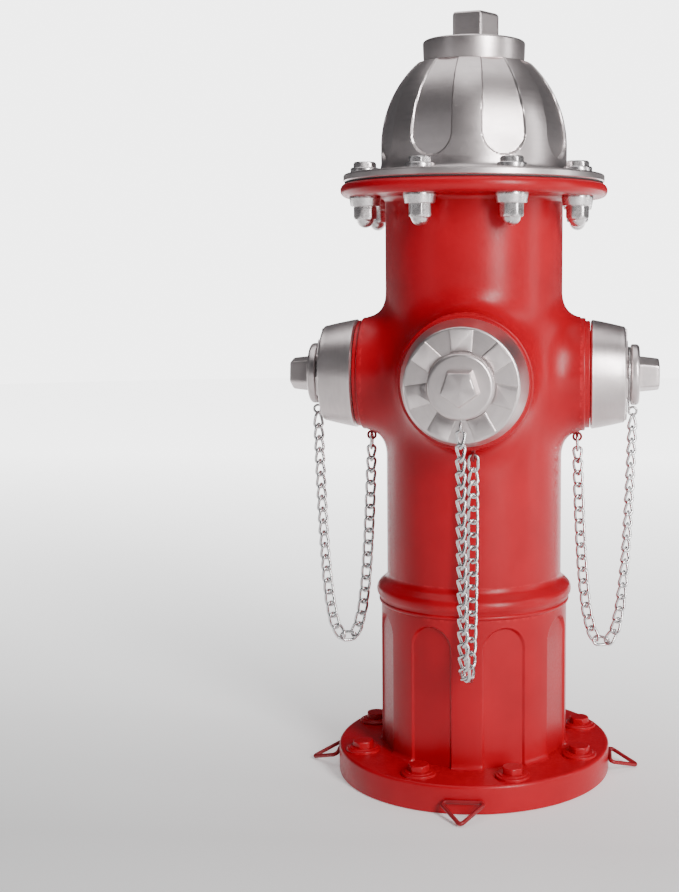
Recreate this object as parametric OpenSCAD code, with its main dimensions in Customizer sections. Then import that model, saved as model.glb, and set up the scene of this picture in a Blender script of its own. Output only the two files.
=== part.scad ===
// Small cast-metal garden fire hydrant on a bolted foot, with three capped nozzles on keeper chains.
// Millimetres, +Z up. The origin is the centre of the foot's underside.
// The front nozzle points along -Y and the side nozzles along -X and +X.

/* [Foot] */
// Thickness of the foot flange
foot_t = 13.3; // [11:0.1:18]
// Radius of the hollow through the foot
foot_bore_r = 38.5; // [37:0.1:39]
// Rounding of the foot's upper edge
foot_edge_round = 1.5; // [0.5:0.1:3]
// Metal outside the foot bolt washers
foot_margin = 2.1; // [1:0.1:6]
// Height of the weld chamfer where the barrel meets the foot
foot_chamfer = 2.2; // [1:0.1:3]

/* [Foot bolts] */
// Number of bolts round the foot
foot_bolt_count = 8; // [6:1:8]
// Radius of a foot washer
foot_washer_r = 8.2; // [6:0.1:9]
// Thickness of a foot washer
foot_washer_t = 1.8; // [1:0.1:3]
// Radius over the corners of a foot bolt's hexagon head
foot_head_r = 5.4; // [4:0.1:6]
// Height of a foot bolt's head
foot_head_t = 3.0; // [2:0.1:5]
// Shank radius of a foot bolt
foot_shank_r = 2.8; // [2:0.1:3.4]
// Depth of a foot bolt's hole
foot_hole_depth = 9; // [6:0.1:10]

/* [Barrel] */
// Outer radius of the upper barrel
barrel_r = 42.9; // [41.5:0.1:52]
// Wall of the cast barrels
wall = 3.6; // [3:0.1:4.3]
// Height of the upper barrel up to its top flange
barrel_h = 182.5; // [150:0.1:220]
// Height of the lower barrel above the foot
lower_h = 71.2; // [55:0.1:90]
// How far the lower barrel stands out past the upper one
lower_step = 2.9; // [2:0.1:4]
// Height of the ring between the barrels
ring_h = 14; // [11:0.1:18]
// How far the ring's bead stands out past the upper barrel
ring_step = 5.2; // [4:0.1:7]

/* [Fluted panels] */
// Number of recessed panels round the lower barrel and the bonnet
panel_count = 8; // [6:1:8]
// Width of a panel on the lower barrel
panel_w = 22; // [16:0.1:26]
// Depth of a panel at its middle
panel_depth = 1.9; // [1:0.1:2.4]
// Plain height between a panel's arch and the ring
panel_top_gap = 4.5; // [2:0.1:10]

/* [Top flange and bonnet] */
// Thickness of the barrel's top flange
flange_t = 6.8; // [5:0.1:9]
// Metal outside the flange bolts' collars
flange_margin = 2.9; // [1:0.1:5]
// Thickness of the gasket under the bonnet
gasket_t = 0.6; // [0.4:0.1:1.5]
// Thickness of the bonnet's flange
bonnet_flange_t = 3.6; // [2.5:0.1:6]
// How far the bonnet's flange stays inside the barrel's flange
bonnet_inset = 1.5; // [0.5:0.1:3]
// How far the dome stands out past the upper barrel
dome_step = 1.75; // [1:0.1:4]
// Height from the bonnet's flange to where the dome starts to curve in
dome_foot_h = 13; // [9:0.1:18]
// Height of the dome's curved part
dome_h = 39; // [34:0.1:41]
// Radius of the dome's outline
dome_arc_r = 53.85; // [50:0.1:64]
// Wall of the bonnet
bonnet_wall = 3.4; // [3:0.1:5]
// Radius of the collar under the operating nut
collar_r = 24.5; // [18:0.1:26]
// Height of the collar
collar_h = 11; // [8:0.1:15]
// Depth of a panel on the bonnet
bonnet_panel_depth = 1.0; // [0.5:0.1:1.5]
// Widest part of a panel on the bonnet
bonnet_panel_w = 21; // [16:0.1:24]
// Plain height under a panel on the bonnet
bonnet_panel_up = 6.5; // [3:0.1:9]

/* [Flange bolts] */
// Number of bolts round the top flange
bolt_count = 8; // [6:1:8]
// Shank radius of a flange bolt
bolt_r = 2.6; // [2:0.1:3]
// Radius over the corners of a bolt's hexagon head
bolt_head_r = 5.6; // [4.6:0.1:6]
// Height of a bolt's head
bolt_head_t = 2.7; // [2:0.1:5]
// Radius of the washer under a bolt's head
bolt_washer_r = 6.75; // [6:0.1:7.5]
// Thickness of that washer
bolt_washer_t = 2.4; // [1:0.1:3]
// Radius of the collar washer under the flange
under_collar_r = 7.4; // [6:0.1:8]
// Height of that collar washer
under_collar_t = 4.7; // [3:0.1:6]
// Height of the acorn nut's hexagon
acorn_hex_h = 6; // [4:0.1:8]
// Radius over the corners of the acorn nut
acorn_hex_r = 5.6; // [4.6:0.1:6]
// Radius of the acorn nut's round tip
acorn_tip_r = 4; // [3.4:0.1:4.6]

/* [Operating nut] */
// Radius over the corners of the five-sided operating nut
nut_r = 11.7; // [9:0.1:14]
// Height of the operating nut
nut_h = 13.25; // [10:0.1:18]
// Radius of the spindle that the nut turns
spindle_r = 5; // [4:0.1:6]
// Turning of the nut to the right of the front, in degrees
nut_turn = 18.5; // [0:0.5:72]

/* [Nozzles] */
// Height of the nozzles above the ring
nozzle_up = 97.7; // [80:0.1:110]
// Radius of a side outlet
side_outlet_r = 27.4; // [26:0.1:33]
// Radius of the front outlet
front_outlet_r = 31; // [28:0.1:34]
// How far an outlet stands out past the barrel
outlet_len = 11.4; // [10:0.1:14]
// Rounding where an outlet meets the barrel
outlet_flare = 4; // [2:0.1:6]
// Radius of the bore through a nozzle insert
nozzle_bore_r = 16; // [13:0.1:17]
// Width of the red collar at a nozzle's end
nozzle_collar_t = 2.2; // [1.5:0.1:4]
// How much smaller that collar is than its outlet
nozzle_collar_step = 1.4; // [0.8:0.1:2.4]

/* [Nozzle caps] */
// Radius of a side cap at its rim
side_cap_r = 26.5; // [25.5:0.1:32]
// Radius of the front cap at its rim
front_cap_r = 29; // [27.5:0.1:33]
// Length of a cap's skirt
cap_len = 16.7; // [14:0.1:20]
// How much a cap narrows from its rim to its face
cap_taper = 3.4; // [2:0.1:4]
// Wall of a cap at its rim
cap_wall = 4.6; // [4.4:0.1:5.6]
// Thickness of a cap's face
cap_face_t = 3.4; // [2.5:0.1:5]
// Number of raised bars on a cap's face
cap_bar_count = 7; // [5:1:9]
// Height of the raised bars
cap_bar_t = 0.9; // [0.4:0.1:1.2]
// Radius of the neck that the keeper ring lies round
neck_r = 12; // [11:0.1:12.4]
// Radius of the round hub behind the cap's nut
hub_r = 14.75; // [14:0.1:16]
// Thickness of that hub
hub_t = 4.2; // [3:0.1:7]
// Radius over the corners of a cap's five-sided nut
cap_nut_r = 8.7; // [7:0.1:10]
// Length of a cap's nut
cap_nut_h = 9.7; // [7:0.1:12]
// How far a cap travels out in one turn of its thread
thread_pitch = 2; // [1:0.1:2.4]
// Turns that unscrew a cap
thread_turns = 3; // [2:1:3]

/* [Keeper chains] */
// Number of links in a chain, an odd number
link_count = 37; // [33:2:41]
// Length that one link adds to a chain
link_pitch = 6; // [5.6:0.1:7.2]
// Outer width of a link
link_w = 5.2; // [4.8:0.1:5.4]
// Wire diameter of a link
link_wire = 1.25; // [1:0.05:1.3]
// Wire radius of the keeper rings and eyes
eye_wire_r = 0.6; // [0.5:0.05:0.65]
// Radius of an eye, measured to the middle of its wire
eye_r = 1.9; // [1.8:0.05:2.1]
// How far inside the cap's hook a chain's fixed end is
chain_span = 26.8; // [23:0.1:28]
// Sideways shift of the front chain's fixed eye
front_eye_shift = 3.6; // [0:0.1:5]

/* [Stake loops] */
// Wire radius of the loops that take the ground stakes
loop_wire_r = 1; // [0.8:0.1:1.2]
// Width of a loop at the foot's rim
loop_w = 21.4; // [18:0.1:26]
// How far a loop reaches out past the rim
loop_reach = 15.5; // [13:0.1:20]
// Height of a loop's bar on the rim
loop_z = 6.2; // [5:0.1:8]
// Radius of a loop's corners, measured to the middle of the wire
loop_bend_r = 1.6; // [1.3:0.1:2.5]

/* [Hidden] */
$fn = 64;

red = [0.75, 0.08, 0.11];
dark_red = [0.5, 0.06, 0.08];
silver = [0.68, 0.66, 0.65];
bright = [0.82, 0.82, 0.83];
black = [0.1, 0.1, 0.1];
steel = [0.55, 0.55, 0.57];

// Clearances: a snug fit inside one body, a turning fit, room between moving pieces, a pressed fit
snug = 0.05;
running = 0.05;
room = 0.3;
press = 0.01;

// Heights, stacked from the foot
z_lower = foot_t;
z_ring = z_lower + lower_h;
z_barrel = z_ring + ring_h;
z_flange = z_barrel + barrel_h;
z_gasket = z_flange + flange_t;
z_bonnet = z_gasket + gasket_t;
z_dome = z_bonnet + bonnet_flange_t;
z_spring = z_dome + dome_foot_h;
z_collar = z_spring + dome_h;
z_nut = z_collar + collar_h;
z_nozzle = z_barrel + nozzle_up;

// Radii that follow the barrel
bore_r = barrel_r - wall;
lower_r = barrel_r + lower_step;
lower_bore_r = lower_r - wall;
ring_r = barrel_r + ring_step;
dome_r = barrel_r + dome_step;
dome_foot_flare = 1.6;
dome_arc_x = dome_r - dome_arc_r;
lip = 4;
lip_wall = 2;

// Bolt circles stand clear of the castings inside them
bolt_circle_r = dome_r + dome_foot_flare + bolt_washer_r + 1;
flange_r = bolt_circle_r + under_collar_r + flange_margin;
bonnet_flange_r = flange_r - bonnet_inset;
foot_circle_r = lower_r + foot_chamfer + foot_washer_r + 0.8;
foot_r = foot_circle_r + foot_washer_r + foot_margin;
bolt_hole_r = bolt_r + 0.2;
foot_hole_r = foot_shank_r + 0.1;
acorn_cover = 4;
bolt_offset = 180 / bolt_count;
foot_bolt_offset = 180 / foot_bolt_count;
panel_offset = 180 / panel_count;

// Distances along a nozzle, from the hydrant's axis
s_outlet = barrel_r + outlet_len;
s_collar = s_outlet + nozzle_collar_t;
s_cap = s_collar + room;
s_face = s_cap + cap_len;
ring_groove = 2 * eye_wire_r + 2 * 0.25;
// The keeper ring's groove lies outside the raised bars, so that they can turn behind its eye
s_hub = s_face + cap_bar_t + ring_groove;
s_ring = s_hub - ring_groove / 2;
s_nut = s_hub + hub_t;
s_tip = s_nut + cap_nut_h;
cap_depth = cap_len - cap_face_t;
gasket_thick = 1.5;
spigot_len = cap_depth - gasket_thick - room;
insert_depth = 12;
insert_wall = 5.2;
travel = thread_pitch * thread_turns;

// Keeper ring: a wire ring round the neck, with an eye that hangs below the hub
keeper_r = neck_r + eye_wire_r + 0.4;
hook_s = s_ring + eye_r + 0.2;
hook_drop = hub_r + 0.5 + eye_wire_r + 2 * eye_r;
eye_drop = 5;
eye_root = 1.5;
link_gap = 0.2;
// How far the last link reaches past the middle of the eye's wire
eye_bite = eye_wire_r + link_wire / 2 + link_gap;

// A chain hangs in a discrete catenary: link k slopes as (k - lowest) / slack, where lowest is the
// position of the bottom along the chain and slack sets how far apart the legs stand
function total(v) = v * [for (x = v) 1];
function run(slack, lowest) =
    link_pitch * total([for (k = [0:link_count - 1]) slack / norm([k - lowest, slack])]);
function rise(slack, lowest) =
    link_pitch * total([for (k = [0:link_count - 1]) (k - lowest) / norm([k - lowest, slack])]);
function find_lowest(slack, goal, low = 0, high = link_count - 1, tries = 26) =
    let (middle = (low + high) / 2)
    tries == 0 ? middle
    : rise(slack, middle) > goal ? find_lowest(slack, goal, middle, high, tries - 1)
    : find_lowest(slack, goal, low, middle, tries - 1);
function find_slack(span, goal, low = 0.05, high = 5, tries = 26) =
    let (middle = (low + high) / 2)
    tries == 0 ? middle
    : run(middle, find_lowest(middle, goal)) > span ? find_slack(span, goal, low, middle, tries - 1)
    : find_slack(span, goal, middle, high, tries - 1);
function slopes(span, goal) =
    let (slack = find_slack(span, goal), lowest = find_lowest(slack, goal))
    [for (k = [0:link_count - 1]) atan2(k - lowest, slack)];
function hooks(angles) =
    [for (k = 0, p = [0, 0]; k <= link_count;
        p = p + link_pitch * [cos(angles[min(k, link_count - 1)]), sin(angles[min(k, link_count - 1)])],
        k = k + 1) p];
// The fixed end is a little lower than the cap's hook: its height follows the outlet's underside
side_climb = hook_drop - side_outlet_r - eye_drop + eye_bite;
front_climb = hook_drop - front_outlet_r - eye_drop + eye_bite;
side_slopes = slopes(chain_span, side_climb);
front_slopes = slopes(norm([chain_span, front_eye_shift]), front_climb);
side_hooks = hooks(side_slopes);
front_hooks = hooks(front_slopes);
front_yaw = atan2(front_eye_shift, chain_span);
// The legs meet at the link after which the chain climbs
side_fold = len([for (a = side_slopes) if (a < 0) 1]);
front_fold = len([for (a = front_slopes) if (a < 0) 1]);
// The middle of the fixed eye's wire, just short of the last link's end
function eye_point(places, angles) =
    let (last = angles[link_count - 1])
    places[link_count] - eye_bite * [cos(last), sin(last)];
side_eye = eye_point(side_hooks, side_slopes);
front_eye = eye_point(front_hooks, front_slopes);

// ---- helpers ----

// Turns a solid of revolution drawn along +Z so that it lies along +X
module along_x() {
    rotate([0, 90, 0]) children();
}

// Places a nozzle's own frame, which has +X outwards, at a turn about the hydrant's axis
module nozzle_at(turn) {
    rotate([0, 0, turn]) translate([0, 0, z_nozzle]) children();
}

module round_pattern(count, radius, offset) {
    for (i = [0:count - 1])
        rotate([0, 0, offset + i * 360 / count]) translate([radius, 0, 0]) children();
}

// Outline points of a quarter round with its centre at c, from one angle to another
function arc(c, r, from, to, steps = 6) =
    [for (i = [0:steps]) c + r * [cos(from + (to - from) * i / steps), sin(from + (to - from) * i / steps)]];

module tube(r, inner_r, h) {
    difference() {
        cylinder(r = r, h = h);
        translate([0, 0, -1]) cylinder(r = inner_r, h = h + 2);
    }
}

module rod(a, b, r) {
    v = b - a;
    translate(a)
        rotate([0, acos(v[2] / norm(v)), atan2(v[1], v[0])]) cylinder(r = r, h = norm(v), $fn = 32);
}

// ---- foot ----

module foot_flange() {
    color(red) difference() {
        rotate_extrude() polygon(concat(
            [[foot_bore_r, 0], [foot_r - 0.5, 0], [foot_r, 0.5]],
            arc([foot_r - foot_edge_round, foot_t - foot_edge_round], foot_edge_round, 0, 90, 4),
            [[foot_bore_r, foot_t]]));
        translate([0, 0, foot_t - foot_hole_depth])
            round_pattern(foot_bolt_count, foot_circle_r, foot_bolt_offset)
                cylinder(r = foot_hole_r, h = foot_hole_depth + 1);
    }
}

module foot_washers() {
    color(red) translate([0, 0, foot_t])
        round_pattern(foot_bolt_count, foot_circle_r, foot_bolt_offset)
            difference() {
                union() {
                    cylinder(r = foot_washer_r, h = foot_washer_t * 0.6);
                    translate([0, 0, foot_washer_t * 0.6])
                        cylinder(r1 = foot_washer_r, r2 = foot_washer_r - foot_washer_t, h = foot_washer_t * 0.4);
                }
                translate([0, 0, -1]) cylinder(r = foot_hole_r, h = foot_washer_t + 2);
            }
}

module foot_bolts() {
    color(red) translate([0, 0, foot_t + foot_washer_t])
        round_pattern(foot_bolt_count, foot_circle_r, foot_bolt_offset) {
            intersection() {
                cylinder(r = foot_head_r, h = foot_head_t, $fn = 6);
                cylinder(r1 = foot_head_r + foot_head_t * 0.9, r2 = foot_head_r * 0.86, h = foot_head_t);
            }
            shank = foot_hole_depth + foot_washer_t - 1;
            translate([0, 0, -shank]) cylinder(r = foot_shank_r, h = shank);
        }
}

// A bent piece of wire: an arc of a ring round +Z, from one angle through a sweep
module wire_bend(centre, from, sweep) {
    translate([centre[0], centre[1], 0]) rotate([0, 0, from])
        rotate_extrude(angle = sweep) translate([loop_bend_r, 0]) circle(r = loop_wire_r, $fn = 32);
}

// A closed wire triangle with rounded corners, its bar on the Y axis and its point along +X.
// The wire is a hair thicker in the bends than in the straights.
module wire_triangle(width, reach) {
    corner = atan2(reach, width / 2);
    into_bend = 0.15;
    bar_end = width / 2 - loop_bend_r / tan(corner / 2) + into_bend;
    side = [reach, -width / 2] / norm([reach, width / 2]);
    side_start = [0, width / 2] + side * (loop_bend_r / tan(corner / 2) - into_bend);
    side_end = [reach, 0] - side * (loop_bend_r / tan(90 - corner) - into_bend);
    corner_centre = [loop_bend_r, width / 2 - loop_bend_r / tan(corner / 2)];
    straight_r = loop_wire_r - 0.04;
    rod([0, -bar_end, 0], [0, bar_end, 0], straight_r);
    for (flip = [-1, 1])
        rod([side_start[0], flip * side_start[1], 0], [side_end[0], flip * side_end[1], 0], straight_r);
    wire_bend(corner_centre, corner, 180 - corner);
    wire_bend([corner_centre[0], -corner_centre[1]], 180, 180 - corner);
    wire_bend([reach - loop_bend_r / sin(90 - corner), 0], -corner, 2 * corner);
}

// A loop is welded to the rim by its bar, and its point slopes down to the ground
module stake_loop() {
    drop = loop_z - loop_wire_r;
    reach = loop_reach - 2 * loop_wire_r + 0.3;
    color(dark_red) translate([foot_r + loop_wire_r - 0.3, 0, loop_z])
        rotate([0, atan2(drop, reach), 0]) wire_triangle(loop_w, norm([drop, reach]));
}

module stake_loop_front() { rotate([0, 0, -90]) stake_loop(); }
module stake_loop_left() { rotate([0, 0, 180]) stake_loop(); }
module stake_loop_right() { stake_loop(); }
module stake_loop_back() { rotate([0, 0, 90]) stake_loop(); }

// ---- barrels ----

// A flat-bottomed panel with an arched top, cut into the lower barrel from outside
module panel_cutter() {
    arch_z = lower_h - panel_top_gap - panel_w / 2;
    flat_x = lower_r - panel_depth;
    translate([flat_x, 0, 0]) {
        translate([0, -panel_w / 2, foot_chamfer]) cube([lower_r, panel_w, arch_z - foot_chamfer]);
        translate([0, 0, arch_z]) along_x() cylinder(r = panel_w / 2, h = lower_r);
    }
}

module lower_barrel() {
    color(red) translate([0, 0, z_lower]) difference() {
        rotate_extrude() polygon([
            [lower_bore_r, 0], [lower_r + foot_chamfer, 0], [lower_r, foot_chamfer],
            [lower_r, lower_h], [lower_bore_r, lower_h]]);
        round_pattern(panel_count, 0, panel_offset) panel_cutter();
    }
}

// The ring sits on the lower barrel, with a lip down inside it, and carries the upper barrel
module joint_ring() {
    bead_r = ring_h * 0.32;
    crest_z = ring_h * 0.42;
    color(red) translate([0, 0, z_ring]) rotate_extrude() polygon(concat(
        [[lower_bore_r - snug - lip_wall, -lip], [lower_bore_r - snug, -lip], [lower_bore_r - snug, 0],
            [lower_r + 0.5, 0]],
        arc([ring_r - bead_r, crest_z], bead_r, -60, 40, 6),
        arc([barrel_r + 4, ring_h + 0.4], 4, 240, 188, 4),
        [[barrel_r, ring_h], [bore_r, ring_h]]));
}

module outlet_bore(r) {
    along_x() cylinder(r = r - insert_wall + snug, h = s_outlet + 1);
}

module upper_barrel() {
    color(red) difference() {
        translate([0, 0, z_barrel]) tube(barrel_r, bore_r, barrel_h + flange_t);
        nozzle_at(-90) outlet_bore(front_outlet_r);
        nozzle_at(180) outlet_bore(side_outlet_r);
        nozzle_at(0) outlet_bore(side_outlet_r);
    }
}

// A short pipe saddled on the barrel, with a flare where it meets it
module outlet(turn, r) {
    color(red) difference() {
        nozzle_at(turn) along_x() {
            cylinder(r = r, h = s_outlet);
            translate([0, 0, barrel_r - outlet_flare / 2])
                cylinder(r1 = r + outlet_flare, r2 = r, h = outlet_flare * 1.8);
        }
        translate([0, 0, z_barrel - 1]) cylinder(r = barrel_r, h = barrel_h);
        nozzle_at(turn) outlet_bore(r);
    }
}

// The side outlets give way to the front outlet's flare where the two meet
module side_outlet(turn) {
    difference() {
        outlet(turn, side_outlet_r);
        nozzle_at(-90) along_x() {
            cylinder(r = front_outlet_r + snug, h = s_outlet + 10);
            translate([0, 0, barrel_r - outlet_flare / 2])
                cylinder(r1 = front_outlet_r + outlet_flare + snug, r2 = front_outlet_r + snug, h = outlet_flare * 1.8);
        }
    }
}

module outlet_front() { outlet(-90, front_outlet_r); }
module outlet_left() { side_outlet(180); }
module outlet_right() { side_outlet(0); }

module top_flange() {
    edge = 1.2;
    color(red) difference() {
        translate([0, 0, z_flange]) rotate_extrude() polygon(concat(
            [[barrel_r, -1.5], [barrel_r + 0.6, -1.5], [barrel_r + 2.1, 0], [flange_r - edge, 0]],
            arc([flange_r - edge, edge], edge, -60, 0, 3),
            arc([flange_r - edge, flange_t - edge], edge, 0, 90, 4),
            [[barrel_r, flange_t]]));
        translate([0, 0, z_flange - 3])
            round_pattern(bolt_count, bolt_circle_r, bolt_offset)
                cylinder(r = bolt_hole_r, h = flange_t + 6);
    }
}

// ---- nozzles and caps, drawn along +X ----

function spigot_r(cap_r) = cap_r - cap_wall - room;

// The insert fills the outlet's bore, shows as a red collar, and carries the plain thread of the cap
module nozzle_insert(outlet_r, cap_r) {
    color(red) along_x() difference() {
        union() {
            translate([0, 0, s_outlet - insert_depth])
                cylinder(r = outlet_r - insert_wall, h = insert_depth);
            translate([0, 0, s_outlet])
                cylinder(r = outlet_r - nozzle_collar_step, h = nozzle_collar_t);
            translate([0, 0, s_collar]) cylinder(r = spigot_r(cap_r), h = spigot_len);
        }
        translate([0, 0, s_outlet - insert_depth - 1])
            cylinder(r = nozzle_bore_r, h = insert_depth + nozzle_collar_t + spigot_len + 2);
    }
}

module nozzle_insert_front() { nozzle_at(-90) nozzle_insert(front_outlet_r, front_cap_r); }
module nozzle_insert_left() { nozzle_at(180) nozzle_insert(side_outlet_r, side_cap_r); }
module nozzle_insert_right() { nozzle_at(0) nozzle_insert(side_outlet_r, side_cap_r); }

// A flat gasket against the inside of the cap's face
module cap_gasket(cap_r) {
    color(black) along_x() translate([0, 0, s_cap + cap_depth - gasket_thick])
        tube(cap_r - cap_wall - 0.1, nozzle_bore_r, gasket_thick);
}

module cap_gasket_front() { nozzle_at(-90) cap_gasket(front_cap_r); }
module cap_gasket_left() { nozzle_at(180) cap_gasket(side_cap_r); }
module cap_gasket_right() { nozzle_at(0) cap_gasket(side_cap_r); }

// One casting: tapered skirt, face with raised bars, neck, hub and five-sided nut
module cap(cap_r, nut_turn) {
    tip_r = cap_r - cap_taper;
    bar_in = hub_r + 1;
    bar_out = tip_r - 1;
    bar_w = tip_r * 0.38;
    color(silver) along_x() {
        difference() {
            translate([0, 0, s_cap]) rotate_extrude() polygon(concat(
                [[0, 0], [cap_r - 0.6, 0], [cap_r, 0.6]],
                arc([tip_r - 1, cap_len - 1], 1, 12, 90, 4),
                [[0, cap_len]]));
            translate([0, 0, s_cap - 1]) cylinder(r = cap_r - cap_wall, h = cap_depth + 1);
        }
        translate([0, 0, s_face])
            intersection() {
                tube(bar_out, bar_in, cap_bar_t);
                union() for (i = [0:cap_bar_count - 1])
                    rotate([0, 0, 180 + i * 360 / cap_bar_count])
                        translate([bar_in - 2, -bar_w / 2, -1]) cube([cap_r, bar_w, cap_bar_t + 2]);
            }
        translate([0, 0, s_face]) cylinder(r = neck_r, h = s_hub - s_face);
        translate([0, 0, s_hub]) rotate_extrude() polygon(concat(
            [[0, 0], [hub_r - 1, 0]],
            arc([hub_r - 1, 1], 1, -60, 0, 3),
            arc([hub_r - 1.8, hub_t - 1.8], 1.8, 0, 90, 5),
            [[0, hub_t]]));
        translate([0, 0, s_nut]) rotate([0, 0, nut_turn]) intersection() {
            cylinder(r = cap_nut_r, h = cap_nut_h, $fn = 5);
            cylinder(r1 = cap_nut_r + cap_nut_h * 1.2, r2 = cap_nut_r * 0.84, h = cap_nut_h);
        }
    }
}

module cap_front() { nozzle_at(-90) cap(front_cap_r, 0); }
module cap_left() { nozzle_at(180) cap(side_cap_r, 134); }
module cap_right() { nozzle_at(0) cap(side_cap_r, 20); }

// ---- keeper rings, eyes and chains ----

// A wire ring of radius r round +Z
module wire_ring(r, wire) {
    rotate_extrude() translate([r, 0]) circle(r = wire, $fn = 32);
}

module keeper_ring() {
    color(steel) union() {
        translate([s_ring, 0, 0]) along_x() wire_ring(keeper_r, eye_wire_r);
        rod([s_ring, 0, -keeper_r], [hook_s - eye_r, 0, eye_r - hook_drop], eye_wire_r * 0.85);
        translate([hook_s, 0, eye_r - hook_drop]) rotate([90, 0, 0]) wire_ring(eye_r, eye_wire_r);
    }
}

module keeper_ring_front() { nozzle_at(-90) keeper_ring(); }
module keeper_ring_left() { nozzle_at(180) keeper_ring(); }
module keeper_ring_right() { nozzle_at(0) keeper_ring(); }

// Places a chain's own frame, which has its origin at the cap's hook and +X towards the fixed eye
module chain_at(turn, yaw) {
    nozzle_at(turn) translate([hook_s, 0, -hook_drop]) rotate([0, 0, 180 - yaw]) children();
}

// A fixed eye on a short post, let into the underside of the outlet
module chain_eye(end) {
    color(dark_red) translate([end[0], 0, end[1]]) union() {
        translate([0, 0, eye_r]) rotate([90, 0, 0]) wire_ring(eye_r, eye_wire_r);
        translate([0, 0, 2 * eye_r]) cylinder(r = 0.9, h = eye_drop - 2 * eye_r + eye_root, $fn = 32);
    }
}

module chain_eye_front() { chain_at(-90, front_yaw) chain_eye(front_eye); }
module chain_eye_left() { chain_at(180, 0) chain_eye(side_eye); }
module chain_eye_right() { chain_at(0, 0) chain_eye(side_eye); }

// One oval wire link along +X, starting at the wire that it hooks on
module link() {
    end_r = (link_w - link_wire) / 2;
    straight = link_pitch + link_gap + link_wire - 2 * end_r;
    translate([(link_pitch - link_wire - link_gap) / 2, 0, 0]) {
        for (side = [-1, 1])
            translate([-straight / 2, side * end_r, 0]) along_x() cylinder(r = link_wire / 2, h = straight, $fn = 32);
        for (side = [-1, 1])
            translate([side * straight / 2, 0, 0]) rotate([0, 0, -side * 90 + (side > 0 ? 0 : -180)])
                rotate_extrude(angle = 180) translate([end_r, 0]) circle(r = link_wire / 2, $fn = 32);
    }
}

// Links from one number up to another, each turned a quarter against the one before
module links(first, last, angles, places) {
    color(bright) for (k = [first:last])
        translate([places[k][0], 0, places[k][1]]) rotate([0, -angles[k], 0])
            rotate([k % 2 == 0 ? 0 : 90, 0, 0]) link();
}

module chain_hook_link_front() { chain_at(-90, front_yaw) links(0, 0, front_slopes, front_hooks); }
module chain_hook_link_left() { chain_at(180, 0) links(0, 0, side_slopes, side_hooks); }
module chain_hook_link_right() { chain_at(0, 0) links(0, 0, side_slopes, side_hooks); }
module chain_cap_leg_front() {
    chain_at(-90, front_yaw) links(1, front_fold - 1, front_slopes, front_hooks);
}
module chain_cap_leg_left() { chain_at(180, 0) links(1, side_fold - 1, side_slopes, side_hooks); }
module chain_cap_leg_right() { chain_at(0, 0) links(1, side_fold - 1, side_slopes, side_hooks); }
module chain_body_leg_front() {
    chain_at(-90, front_yaw) links(front_fold, link_count - 1, front_slopes, front_hooks);
}
module chain_body_leg_left() {
    chain_at(180, 0) links(side_fold, link_count - 1, side_slopes, side_hooks);
}
module chain_body_leg_right() {
    chain_at(0, 0) links(side_fold, link_count - 1, side_slopes, side_hooks);
}

// ---- bonnet ----

module bonnet_gasket() {
    color(black) translate([0, 0, z_gasket]) difference() {
        tube(bonnet_flange_r - 0.6, bore_r, gasket_t);
        round_pattern(bolt_count, bolt_circle_r, bolt_offset)
            translate([0, 0, -1]) cylinder(r = bolt_hole_r, h = gasket_t + 2);
    }
}

// Height above the spring line at which the dome's outline has come in to a radius
function dome_rise(r, shrink = 0) = sqrt(pow(dome_arc_r - shrink, 2) - pow(r - dome_arc_x, 2));
dome_top_r = dome_arc_x + sqrt(pow(dome_arc_r, 2) - pow(dome_h, 2));
inner_arc_r = dome_arc_r - bonnet_wall;
inner_top = dome_h - bonnet_wall - 1;
dome_end = asin((dome_h - 1.2) / dome_arc_r);
inner_end = asin(inner_top / inner_arc_r);
seal_wire_r = 1.2;
seal_z = collar_h - 4;
washer_t = 1;

module bonnet_outline() {
    polygon(concat(
        [[0, 0], [bonnet_flange_r - 0.4, 0], [bonnet_flange_r, 0.4]],
        [[bonnet_flange_r - 0.4, bonnet_flange_t - 0.8], [bonnet_flange_r - 1.2, bonnet_flange_t]],
        [[dome_r + dome_foot_flare, bonnet_flange_t]],
        [[dome_r + 0.4, bonnet_flange_t + 3], [dome_r, bonnet_flange_t + 6]],
        arc([dome_arc_x, bonnet_flange_t + dome_foot_h], dome_arc_r, 0, dome_end, 12),
        [[dome_top_r - 1.6, bonnet_flange_t + dome_foot_h + dome_h]],
        [[collar_r - 0.5, bonnet_flange_t + dome_foot_h + dome_h], [collar_r, z_nut - z_bonnet - 0.8]],
        [[collar_r - 0.8, z_nut - z_bonnet], [0, z_nut - z_bonnet]]));
}

module bonnet_inside() {
    polygon(concat(
        [[0, -1], [dome_r - bonnet_wall, -1]],
        arc([dome_arc_x, bonnet_flange_t + dome_foot_h], inner_arc_r, 0, inner_end, 8),
        [[0, bonnet_flange_t + dome_foot_h + inner_top]]));
}

// The skin of metal that a bonnet panel takes away, all the way round
module dome_skin() {
    spring = bonnet_flange_t + dome_foot_h;
    low = bonnet_flange_t + 2.5;
    skin_r = dome_arc_r - bonnet_panel_depth;
    rotate_extrude() polygon(concat(
        [[dome_r + 5, low], [dome_r - bonnet_panel_depth, low]],
        arc([dome_arc_x, spring], skin_r, 0, dome_end, 12),
        [[dome_top_r + 2, spring + dome_h], [dome_r + 5, spring + dome_h]]));
}

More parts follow.
